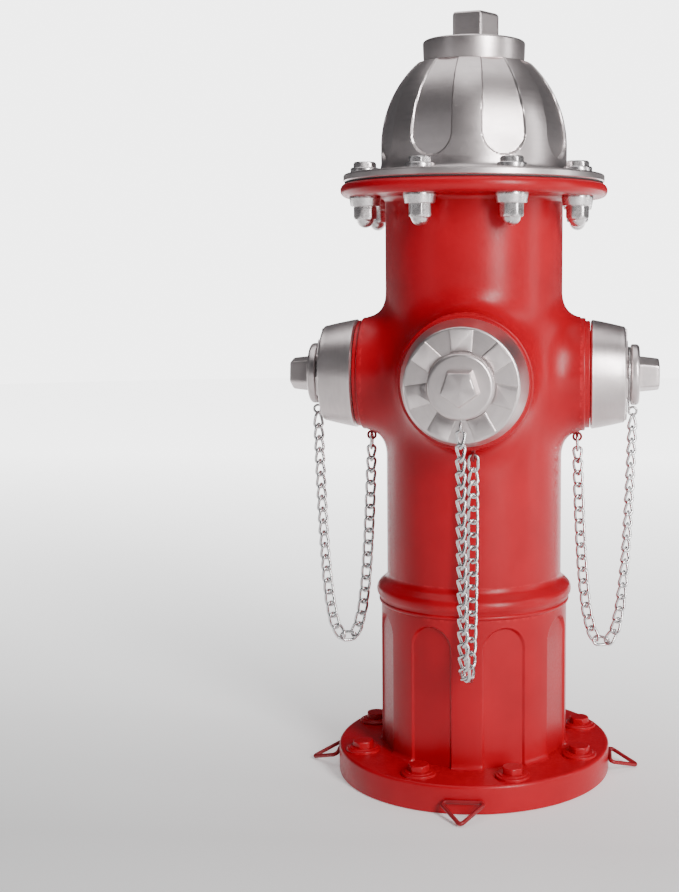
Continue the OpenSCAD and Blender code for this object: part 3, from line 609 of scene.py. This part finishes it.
def trim_ends(cut):
    """Cuts the barrel and the outlets off square at their ends."""
    planes = [((0, 0, z_barrel), (0, 0, -1)), ((0, 0, z_gasket), (0, 0, 1))]
    for side in SIDES:
        out = (cos(TURN[side]), sin(TURN[side]), 0)
        end = tuple(c * (s_outlet - OUTLET_CUT) + n for c, n in zip(out, (0, 0, z_nozzle)))
        planes.append((end, out))
    for place, normal in planes:
        bmesh.ops.bisect_plane(
            cut, geom=cut.verts[:] + cut.edges[:] + cut.faces[:], plane_co=place, plane_no=normal,
            clear_outer=True, dist=1e-4)


def thicken(cut):
    """Gives an open skin an inner skin and closed rims; returns points and faces."""
    outer = len(cut.verts)
    cut.verts.ensure_lookup_table()
    cut.verts.index_update()
    points = np.array([v.co for v in cut.verts])
    inner = points - np.array([v.normal for v in cut.verts]) * wall
    end = s_outlet - OUTLET_CUT
    for side in SIDES:
        rim = np.abs(along_axis(points, side) - end) < 0.01
        shift = np.where(rim, end - along_axis(inner, side), 0.0)
        inner[:, 0] += shift * cos(TURN[side])
        inner[:, 1] += shift * sin(TURN[side])
    faces = [[v.index for v in f.verts] for f in cut.faces]
    back = [[i + outer for i in reversed(face)] for face in faces]
    rims = []
    for edge in cut.edges:
        if edge.is_boundary:
            a, b = (v.index for v in edge.verts)
            rims.append([a, b, b + outer, a + outer])
    return np.concatenate([points, inner]), faces + back + rims


def barrel_shell():
    """Joins rough solids, remeshes them evenly and pushes the result onto the exact blend."""
    margin = 2 * SPARE
    parts = [solid_pipe(barrel_r + 1, z_barrel - margin, z_gasket + margin, 160)]
    for side in SIDES:
        parts.append(along_nozzle(solid_pipe(outlet_r[side] + 1, 0, s_cap + margin), side))
    cut = even_mesh(*join(*parts))
    for _ in range(2):
        bmesh.ops.smooth_vert(
            cut, verts=cut.verts, factor=0.5, use_axis_x=True, use_axis_y=True, use_axis_z=True)
    open_ends(cut)
    where = push_to_surface(np.array([v.co for v in cut.verts]))
    for v, co in zip(cut.verts, where):
        v.co = co
    trim_ends(cut)
    bmesh.ops.recalc_face_normals(cut, faces=cut.faces)
    shell = thicken(cut)
    cut.free()
    return shell


def outlet_ring(side):
    """The turned end of an outlet, with a small lip like the casting's."""
    r, start, end = outlet_r[side], s_outlet - OUTLET_CUT, s_outlet
    inner = r - wall
    profile = outline([
        (inner, start, 0), (r, start, 0), (r, end, 0.8), (r - 1.9, end + 0.02, 0), (inner, end, 0)])
    return revolve(profile, around(128))


def collar(side):
    """The red end of a nozzle insert, standing out of the outlet behind the cap."""
    r = outlet_r[side] - COLLAR_STEP
    inner = cap_r[side] - 8.4
    thread_r = inner + 3.0
    bore_r = inner - 2.6
    socket_r = r - 2.2
    start, end = s_outlet - 0.2, s_collar
    back = start - 9
    front = end + 10.5
    profile = outline([
        (bore_r, back, 0), (socket_r, back, 0), (socket_r, start, 0), (r, start, 0), (r, end, 0.6),
        (thread_r, end, 0.2), (thread_r, front, 0.6), (bore_r, front, 0.4)])
    return revolve(profile, around(128))


def top_flange():
    """A round flange with a full round edge, filleted into the barrel under it."""
    edge = flange_t / 2
    profile = np.concatenate([
        [[barrel_r - 1, z_gasket]],
        [[flange_r - edge, z_gasket]],
        curve((flange_r - edge, z_gasket - edge), edge, 84, -90, 16),
        curve((barrel_r + 2.5, z_flange - 2.5), 2.5, 95, 176, 6),
        [[barrel_r - 1, z_flange - 2.9]]])
    return revolve(profile, around(192))


def build_barrel():
    piece("lower_casting", "hydrant", red, lower_barrel(), ["lower_barrel"], 24)
    piece("beaded_ring", "hydrant", red, joint_ring(), ["joint_ring"])
    rings = [along_nozzle(outlet_ring(side), side) for side in SIDES]
    names = ["upper_barrel"] + ["outlet_" + side for side in SIDES]
    piece("upper_casting", "hydrant", red, join(barrel_shell(), *rings), names, 50)
    for side in SIDES:
        shape = along_nozzle(collar(side), side)
        piece("collar_" + side, "hydrant", red, shape, ["nozzle_insert_" + side])
    piece("barrel_flange", "hydrant", red, top_flange(), ["top_flange"])


# ---- Bonnet: eight flat petals let into a turned dome ----

PETAL_FOOT_R = 10.4     # round foot of a petal
PETAL_FOOT_Z = 309.0    # height of its centre
PETAL_NECK = 4.7        # how much narrower a petal's half is under the collar
PETAL_DEPTH = 0.75
DOME_X = -9.2           # centre of the dome's arc, seen from the side
DOME_Z = 305.0
DOME_ARC = 53.85        # radius of that arc
COLLAR_Z = 344.0        # the collar under the operating nut
COLLAR_R = 24.5
COLLAR_ROUND = 1.3
BONNET_BORE_R = 40.9
BONNET_PANEL_UP = 6.5   # the bonnet's hollow starts this far above its seat
NUT_SEAT_R = 11.9       # shallow seat for the operating nut
SPINDLE_HOLE_R = 5.1
TOP_NUT_CORNER = 12.0
TOP_NUT_TURN = -107.5


def dome_outline():
    """The bonnet's outside from its flange to its collar: a foot, a straight wall and an arc."""
    foot_z = z_dome
    dome_r = DOME_X + DOME_ARC
    foot = [
        (dome_r + 3.0, foot_z), (dome_r + 1.7, foot_z + 0.7), (dome_r + 0.9, foot_z + 1.7),
        (dome_r + 0.4, foot_z + 3.0), (dome_r + 0.1, foot_z + 4.6)]
    low_wall = [(dome_r, z) for z in np.arange(foot_z + 5.6, DOME_Z, 0.55)]
    top_angle = np.degrees(np.arcsin((COLLAR_Z - DOME_Z) / DOME_ARC))
    arc = curve((DOME_X, DOME_Z), DOME_ARC, 0, top_angle, 82)
    return np.concatenate([foot, low_wall, arc])


def bonnet():
    edge_r = high("bonnet").x
    dome = dome_outline()
    angles = around(PANELS * 90)
    off = sector_off(angles, pi / PANELS)[None, :]
    r, z = dome[:, :1], dome[:, 1:]
    across = r * np.sin(off)
    above = np.clip((z - PETAL_FOOT_Z) / 35, 0, 1)
    half_w = PETAL_FOOT_R - PETAL_NECK * above ** 1.7
    soft = 0.32
    reach = np.where(z > PETAL_FOOT_Z, np.abs(across), np.hypot(across, z - PETAL_FOOT_Z))
    share = smooth((half_w - reach + soft) / (2 * soft))
    cut = np.minimum(panel_cut(r, off, half_w, PETAL_DEPTH), r)
    radius = r + (cut - r) * share
    height = z + 0 * off
    before = np.array([
        [BONNET_BORE_R, z_bonnet + BONNET_PANEL_UP], [BONNET_BORE_R, z_bonnet], [edge_r - 0.5, z_bonnet],
        [edge_r, z_bonnet + 0.5], [edge_r, z_dome - 0.9], [edge_r - 0.3, z_dome - 0.3],
        [edge_r - 0.9, z_dome]])
    neck_r = float(dome[-1, 0])
    bottom_r = COLLAR_R - 0.5
    after = np.concatenate([
        [[neck_r - 0.5, COLLAR_Z + 0.25], [bottom_r + 0.5, COLLAR_Z + 0.35], [bottom_r, COLLAR_Z + 0.8]],
        [[COLLAR_R - 0.2, COLLAR_Z + 4], [COLLAR_R, z_nut - COLLAR_ROUND]],
        curve((COLLAR_R - COLLAR_ROUND, z_nut - COLLAR_ROUND), COLLAR_ROUND, 15, 90, 5),
        [[NUT_SEAT_R, z_nut], [NUT_SEAT_R, z_nut - 1.0], [SPINDLE_HOLE_R, z_nut - 1.0]]])
    stretch = np.ones((1, len(angles)))
    radius = np.concatenate([before[:, :1] * stretch, radius, after[:, :1] * stretch])
    height = np.concatenate([before[:, 1:] * stretch, height, after[:, 1:] * stretch])
    return revolve(np.stack([radius, height], -1), angles)


def operating_nut():
    """Five-sided nut with straight sides and worn top edges."""
    base, top = low("operating_nut").z, high("operating_nut").z
    corner = TOP_NUT_CORNER
    rows = [(base, 0, 3.6), (base, corner - 0.3, corner - 0.3), (base + 0.3, corner, corner)]
    rows += [(base + 4, corner, corner), (top - 2.0, corner, corner - 0.05)]
    rows += [(top - 2.0 + 1.9 * sin(a), corner - 1.7 * (1 - cos(a)), corner - 1.9 * (1 - cos(a)))
             for a in np.radians([20, 40, 60, 75])]
    rows += [(top - 0.04, corner - 2.2, corner - 2.6), (top, 0, corner * 0.55), (top, 0, 0.001)]
    return turned(nut(5, rows, soft=0.55, per_side=20), radians(TOP_NUT_TURN))


def build_bonnet():
    piece("bonnet_casting", "hydrant", silver_z, bonnet(), ["bonnet"], 20)
    piece("top_nut", "nut_and_spindle", silver_z, operating_nut(), ["operating_nut"])


# ---- Caps: tapered skirt, face with seven raised bars, hub and five-sided nut ----

BAR_COUNT = 7
BAR_W = 4.75            # half a bar's width, 20 mm from the cap's middle
BAR_EDGE = (            # a bar's edge from the bottom up: how far it stands out, and its height
    (0.16, -0.3), (0.14, 0.0), (0.06, 0.45), (-0.05, 0.64), (-0.3, 0.74))
CAP_WALL = 4.6
CAP_DEPTH = 13.3
CAP_TAPER = 3.4         # how much smaller a cap's face is than its back edge
CAP_NECK_R = 12.0       # groove of the keeper ring
CAP_BORE_R = 5.0
CAP_NUT_CORNER = 9.4
CAP_NUT_TURN = {"front": 0.0, "left": 134.0, "right": 20.0}
HUB_R = 14.75


def cap_body(side):
    """Hollow cap with a slightly curved taper, a rounded rim and a neck for the keeper ring."""
    r = cap_r[side]
    tip = r - CAP_TAPER
    height = s_face - s_cap
    inner = r - CAP_WALL
    side_curve = []
    for t in np.linspace(0, 1, 9):
        drawn_in = CAP_TAPER * (0.82 * t + 0.18 * t * t) * (height - 1.6) / height
        side_curve.append((r - drawn_in, 0.75 + t * (height - 2.3)))
    face = [(CAP_NECK_R, height), (CAP_NECK_R, s_hub - s_cap), (CAP_BORE_R, s_hub - s_cap)]
    profile = np.concatenate([
        [(CAP_BORE_R, CAP_DEPTH), (inner, CAP_DEPTH), (inner, 0.0), (r - 0.75, 0.0)],
        side_curve,
        curve((tip - 0.95, height - 1.25), 1.25, 12, 88, 6),
        face])
    return revolve(profile, around(128))


def cap_bars(side):
    """Raised bars between the rim and the groove: round inner ends, nearly straight outer ends."""
    outer = cap_r[side] - CAP_TAPER - 1.1
    inner = HUB_R + 0.55
    wide = BAR_W * cap_r[side] / cap_r["front"]
    bars = []
    for k in range(BAR_COUNT):
        half = [wide + (rho - 20) * tan(radians(5)) for rho in (inner, outer)]
        rows = []
        for grow, z in BAR_EDGE:
            corners = [(inner - 2, -half[0] - grow), (outer + grow * 0.6, -half[1] - grow),
                       (outer + grow * 0.6, half[1] + grow), (inner - 2, half[0] + grow)]
            row = []
            for (xa, ya), (xb, yb) in zip(corners, corners[1:] + corners[:1]):
                for t in np.linspace(0, 1, 10, endpoint=False):
                    row.append((xa + (xb - xa) * t, ya + (yb - ya) * t))
            row = np.array(row)
            reach = np.hypot(row[:, 0], row[:, 1])
            row *= (np.clip(reach, inner - grow, outer + 0.35 + grow * 0.6) / reach)[:, None]
            rows.append(np.column_stack([row, np.full(len(row), z)]))
        points, faces = grid(np.array(rows))
        count = len(rows[0])
        top = [(len(rows) - 1) * count + i for i in range(count)]
        bottom = list(reversed(range(count)))
        bars.append(turned((points, faces + [top, bottom]), k * 2 * pi / BAR_COUNT))
    return shifted(join(*bars), z=s_face - s_cap)


def cap_hub():
    start, end = s_hub - s_cap, s_nut - s_cap
    return revolve(outline([
        (4.0, start, 0), (HUB_R, start, 0.9), (HUB_R, end, 1.7), (4.0, end, 0)], 7), around(96))


def cap_nut(side):
    """Short tapered five-sided nut with rounded end."""
    start = s_nut - s_cap - 0.2
    end = s_tip - s_cap
    wide = CAP_NUT_CORNER
    rows = [(start, 0, 0.001), (start, wide, wide)]
    rows += [(start + (end - start) * t, wide - 1.1 * t, wide - 1.1 * t) for t in (0.25, 0.5, 0.75)]
    for a in np.radians([10, 30, 50, 70]):
        fall = 1 - cos(a)
        rows.append((end - 1.25 + 1.2 * sin(a), wide - 1.05 - 0.95 * fall, wide - 1.05 - 1.15 * fall))
    rows += [(end, 0, wide * 0.62), (end, 0, 0.001)]
    return turned(nut(5, rows, soft=0.45, per_side=14), radians(CAP_NUT_TURN[side]))


def build_caps():
    for side in SIDES:
        shape = join(cap_body(side), cap_bars(side), cap_hub(), cap_nut(side))
        shape = along_nozzle(shifted(shape, z=s_cap), side)
        silver = silver_of[side]
        piece("cap_casting_" + side, side + "_cap", silver, shape, ["cap_" + side], 30)


# ---- Fasteners of the bonnet's flange ----

HEX_R = 5.6             # corner radius of the bolts' heads and of the acorn nuts
WASHER_T = 2.4


def flange_washer():
    r = 6.75
    return revolve(outline([(2.7, 0, 0), (r, 0, 0.25), (r, WASHER_T, 0.8), (2.7, WASHER_T, 0)]), around(64))


def flange_bolt():
    """A hexagon bolt that reaches through both flanges into its acorn nut."""
    rows = [(0, 0, 0.001), (0, HEX_R, HEX_R)] + hex_head(HEX_R, 2.7, 0.2)
    head = nut(6, rows, soft=0.5, per_side=12)
    reach = WASHER_T + (z_dome - z_flange) + UNDER_COLLAR_T + 3.8
    shank = np.array([[0.001, -reach], [2.2, -reach], [2.6, -reach + 0.4], [2.6, 0.2], [0.001, 0.2]])
    return join(head, revolve(shank, around(32), closed=False))


def flange_collar():
    r, t = UNDER_COLLAR_R, UNDER_COLLAR_T
    profile = outline([
        (WASHER_HOLE_R, 0, 0), (r - 0.6, 0, 0.4), (r, t * 0.8, 0.6), (r, t, 0.2), (WASHER_HOLE_R, t, 0)])
    return revolve(profile, around(64))


def acorn_nut():
    """A hexagon nut, open at the top, with a domed end below."""
    hex_h, tip = 6.0, 4.0
    dome = np.radians(np.linspace(90, 8, 10))
    rows = [(-hex_h - tip * sin(a), 0, max(0.001, tip * cos(a))) for a in dome]
    rows += [(-hex_h, 0, tip + 0.5), (-hex_h, HEX_R, HEX_R * 0.885)]
    rows += [(-hex_h + 0.6, HEX_R, HEX_R * 0.96)]
    rows += [(-hex_h + 1.1, HEX_R, HEX_R), (-0.5, HEX_R, HEX_R), (0, HEX_R, HEX_R * 0.95)]
    rows += [(0, 0, 2.75), (-4.2, 0, 2.75), (-4.2, 0, 0.001)]
    return nut(6, rows, soft=0.45, per_side=12)


def bolt_set(shape, z, spins=(0,) * BOLT_COUNT):
    """Copies of a fastener on the flange's bolt circle, each turned about itself."""
    copies = []
    for k, spin in enumerate(spins):
        one = turned(shape, spin) if spin else shape
        copies.append(turned(shifted(one, x=bolt_circle, z=z), (k + 0.5) * 2 * pi / BOLT_COUNT))
    return join(*copies)


def build_fasteners():
    spins = [share * pi / 3 for share in (0.0, 0.5, 0.2, 0.8, 0.35, 0.1, 0.65, 0.9)]
    under = z_flange - UNDER_COLLAR_T
    sets = (
        ("bolt_washer_set", "bolt_washers", bolt_set(flange_washer(), z_dome)),
        ("flange_bolt_set", "flange_bolts", bolt_set(flange_bolt(), z_dome + WASHER_T, spins)),
        ("flange_collar_set", "flange_collars", bolt_set(flange_collar(), under)),
        ("acorn_nut_set", "acorn_nuts", bolt_set(acorn_nut(), under, spins)))
    for name, node, shape in sets:
        piece(name, "hydrant", chrome, shape, [node])


# ---- Small CAD parts that only take a material ----

def finish_cad(node, material, sharp=30):
    """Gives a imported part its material; its mesh stays as it is."""
    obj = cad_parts[node]
    obj.data.materials.clear()
    obj.data.materials.append(material)
    obj.data.polygons.foreach_set("use_smooth", [True] * len(obj.data.polygons))
    obj.data.set_sharp_from_angle(angle=radians(sharp))


def build_small_parts():
    for side in SIDES:
        finish_cad("keeper_ring_" + side, keeper)
        finish_cad("chain_eye_" + side, dark_wire)
        finish_cad("cap_gasket_" + side, rubber)
    for side in SIDES + ("back",):
        finish_cad("stake_loop_" + side, dark_wire)
    finish_cad("bonnet_gasket", rubber)
    finish_cad("spindle_seal", rubber)
    finish_cad("spindle", steel)
    finish_cad("spindle_lock_nut", steel)
    finish_cad("thrust_washer", steel)


# ---- Chains: twisted curb links in place of the plain ovals, with a plain last link in the eye ----

LINK_WIRE = 1.45
LINK_LENGTH = 9.1
LINK_WIDTH = 5.6
LINK_ROLL = {           # places along a chain, and how far its links are rolled there, in degrees
    "front": ([0, 0.38, 0.56, 0.86, 1], [-45, -45, -90, -90, -45]),
    "left": ([0, 0.3, 0.55, 0.86, 1], [-45, -45, 0, 0, -45]),
    "right": ([0, 0.3, 0.55, 0.86, 1], [-45, -45, 0, 0, -45]),
}


def curb_link(twist):
    """An oval wire link along +X, in the XY plane, twisted about its length."""
    around_loop = 44
    wire = LINK_WIRE / 2
    end_r = (LINK_WIDTH - LINK_WIRE) / 2
    half = (LINK_LENGTH - LINK_WIRE) / 2 - end_r
    perimeter = 4 * half + 2 * pi * end_r
    middle = []
    for t in np.arange(around_loop) / around_loop * perimeter:
        if t < 2 * half:
            middle.append((-half + t, -end_r))
        elif t < 2 * half + pi * end_r:
            a = (t - 2 * half) / end_r - pi / 2
            middle.append((half + end_r * cos(a), end_r * sin(a)))
        elif t < 4 * half + pi * end_r:
            middle.append((half - (t - 2 * half - pi * end_r), end_r))
        else:
            a = (t - 4 * half - pi * end_r) / end_r + pi / 2
            middle.append((-half + end_r * cos(a), end_r * sin(a)))
    middle = np.array(middle)
    x, y = middle[:, 0], middle[:, 1]
    angle = twist * x / (LINK_LENGTH / 2)
    centre = np.stack([x, y * np.cos(angle), y * np.sin(angle)], 1)
    along = np.roll(centre, -1, 0) - np.roll(centre, 1, 0)
    along /= np.linalg.norm(along, axis=1)[:, None]
    up = np.stack([0 * x, -np.sin(angle), np.cos(angle)], 1)
    side = np.cross(up, along)
    side /= np.linalg.norm(side, axis=1)[:, None]
    up = np.cross(along, side)
    turn = (np.arange(12) * 2 * pi / 12)[None, :, None]
    tube = np.cos(turn) * side[:, None] + np.sin(turn) * up[:, None]
    return grid(centre[:, None] + wire * tube, wrap_rows=True)


def loose_parts(node):
    """Points of each separate link of a CAD chain node, in millimetres."""
    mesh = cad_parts[node].data
    count = len(mesh.vertices)
    where = np.empty(count * 3)
    mesh.vertices.foreach_get("co", where)
    where = where.reshape(-1, 3) / MM
    keys = {}
    same = np.array([keys.setdefault(tuple(np.round(co, 3)), i) for i, co in enumerate(where)])
    owner = list(range(count))

    def root(i):
        while owner[i] != i:
            owner[i] = owner[owner[i]]
            i = owner[i]
        return i

    for a, b in mesh.edge_keys:
        owner[root(same[a])] = root(same[b])
    groups = {}
    for i in range(count):
        groups.setdefault(root(same[i]), []).append(i)
    return [where[group] for group in groups.values() if len(group) > 20]


def link_places(side):
    """Links from the cap to the outlet: (CAD node, middle, direction, normal of the CAD link)."""
    rows = []
    last = None
    for node in ("chain_hook_link_", "chain_cap_leg_", "chain_body_leg_"):
        parts = loose_parts(node + side)
        while parts:
            middles = [(part.max(0) + part.min(0)) / 2 for part in parts]
            far = [0.0 if last is None else np.linalg.norm(m - last) for m in middles]
            k = int(np.argmin(far))
            part, last = parts.pop(k), middles[k]
            spread = part - part.mean(0)
            axes = np.linalg.eigh(spread.T @ spread)[1]
            rows.append((node + side, last, axes[:, 2], axes[:, 0]))
    count = len(rows)
    for i, (node, place, axis, thin) in enumerate(rows):
        ahead = rows[min(i + 1, count - 1)][1] - rows[max(i - 1, 0)][1]
        rows[i] = (node, place, axis if axis @ ahead > 0 else -axis, thin)
    return rows


def build_chains():
    twisted = curb_link(pi / 4)
    plain = curb_link(0.0)
    for side in SIDES:
        flat = np.array([1.0, 0, 0]) if side == "front" else np.array([0, -1.0, 0])
        rows = link_places(side)
        end = len(rows) - 1
        legs = {}
        for i, (node, place, axis, thin) in enumerate(rows):
            normal = flat - axis * (flat @ axis)
            normal /= np.linalg.norm(normal)
            roll = radians(float(np.interp(i / end, *LINK_ROLL[side])))
            normal = normal * cos(roll) + np.cross(axis, normal) * sin(roll)
            points, faces = twisted
            if i == end:
                points, faces = plain
                normal = thin
            frame_of_link = np.stack([axis, np.cross(normal, axis), normal], 1)
            legs.setdefault(node, []).append((points @ frame_of_link.T + place, faces))
        for node, shapes in legs.items():
            body = side + "_" + node.replace("_" + side, "").replace("chain_hook_link", "hook_link")
            piece("curb_" + node, body, zinc, join(*shapes), [node], 60)


# ---- Put it together ----

build_foot()
build_barrel()
build_bonnet()
build_caps()
build_fasteners()
build_small_parts()
build_chains()


# ---- Camera, light and floor ----

def look_at(obj, target):
    direction = Vector(target) - obj.location
    obj.rotation_euler = direction.to_track_quat("-Z", "Y").to_euler()


CAMERA_DISTANCE = 0.670         # from the hydrant's axis
CAMERA_HEIGHT = 0.245
CAMERA_TURN = radians(4.3)
CAMERA_DOWN = radians(5.63)
camera_data = bpy.data.cameras.new("camera")
camera_data.sensor_width = 36
camera_data.lens = 55.39
camera_data.shift_x = -0.1508
camera_data.shift_y = -0.0418
camera = bpy.data.objects.new("camera", camera_data)
camera.location = (CAMERA_DISTANCE * sin(CAMERA_TURN), -CAMERA_DISTANCE * cos(CAMERA_TURN), CAMERA_HEIGHT)
camera.rotation_euler = (pi / 2 - CAMERA_DOWN, 0, CAMERA_TURN)
bpy.context.scene.collection.objects.link(camera)
bpy.context.scene.camera = camera


def softbox(name, place, target, width, height, power, colour=(1, 1, 1)):
    data = bpy.data.lights.new(name, "AREA")
    data.shape = "RECTANGLE"
    data.size = width
    data.size_y = height
    data.energy = power
    data.color = colour
    light = bpy.data.objects.new(name, data)
    light.location = place
    look_at(light, target)
    bpy.context.scene.collection.objects.link(light)


middle = (0, 0, 0.19)
softbox("key", (0.70, -1.0, 0.66), middle, 0.26, 0.85, 22, (1.0, 0.99, 0.98))
softbox("rim_right", (1.1, -0.1, 0.45), middle, 0.2, 0.9, 3, (1.0, 1.0, 1.0))
softbox("fill_left", (-1.0, -0.75, 0.5), middle, 0.12, 0.8, 0.35, (0.97, 0.98, 1.0))
softbox("top", (-0.1, 0.1, 1.6), middle, 1.4, 1.4, 11)

ROOM_LIGHT = 0.07       # what the hydrant gets from the room
WHITE = 4.5             # what the camera sees behind it

world = bpy.data.worlds.new("studio")
bpy.context.scene.world = world
world.use_nodes = True
sky = world.node_tree
background = sky.nodes["Background"]
background.inputs["Color"].default_value = (0.92, 0.94, 1.0, 1)
background.inputs["Strength"].default_value = ROOM_LIGHT
white = sky.nodes.new("ShaderNodeBackground")
white.inputs["Color"].default_value = (1, 1, 1, 1)
white.inputs["Strength"].default_value = WHITE
path = sky.nodes.new("ShaderNodeLightPath")
choice = sky.nodes.new("ShaderNodeMixShader")
sky.links.new(path.outputs["Is Camera Ray"], choice.inputs[0])
sky.links.new(background.outputs[0], choice.inputs[1])
sky.links.new(white.outputs[0], choice.inputs[2])
sky.links.new(choice.outputs[0], sky.nodes["World Output"].inputs[0])


FLOOR_R = 2.6
FLOOR_DROP = 0.0002     # just under the foot


def floor_material():
    """Matt white paper that glows towards the back and towards its rim."""
    n = Nodes("paper_floor")
    shade = n.spread(n.noise(3.0, 2.0), 0.3, 0.7, 0.0, 1.0)
    n.feed(n.shader.inputs["Base Color"], n.mix(shade, (0.88, 0.88, 0.88, 1), (0.91, 0.91, 0.91, 1)))
    n.feed(n.shader.inputs["Roughness"], n.spread(n.noise(900.0, 2.0), 0.3, 0.7, 0.75, 0.9))
    n.shader.inputs["Emission Color"].default_value = (1, 1, 1, 1)
    away = n.add("ShaderNodeSeparateXYZ", {"Vector": n.place()}).outputs["Y"]
    far = n.add("ShaderNodeVectorMath", {0: n.place()}, operation="LENGTH").outputs["Value"]
    behind = n.spread(away, -0.1, 1.15, 0.05, 4.0)
    rim = n.spread(far, 0.9, FLOOR_R, 0.0, 2.6)
    n.feed(n.shader.inputs["Emission Strength"], n.math("MAXIMUM", behind, rim))
    return n.material


def backdrop():
    """A round sheet of white paper under the hydrant, glowing into the white behind it."""
    radii = np.array([0.001, 0.3, 0.8, 1.5, FLOOR_R])
    angles = around(48)
    x, y = np.outer(radii, np.cos(angles)), np.outer(radii, np.sin(angles))
    points, faces = grid(np.stack([x, y, np.full_like(x, -FLOOR_DROP)], -1))
    mesh = bpy.data.meshes.new("backdrop")
    mesh.from_pydata(points.tolist(), [], faces)
    mesh.polygons.foreach_set("use_smooth", [True] * len(mesh.polygons))
    mesh.materials.append(floor_material())
    obj = bpy.data.objects.new("backdrop", mesh)
    bpy.context.scene.collection.objects.link(obj)


backdrop()
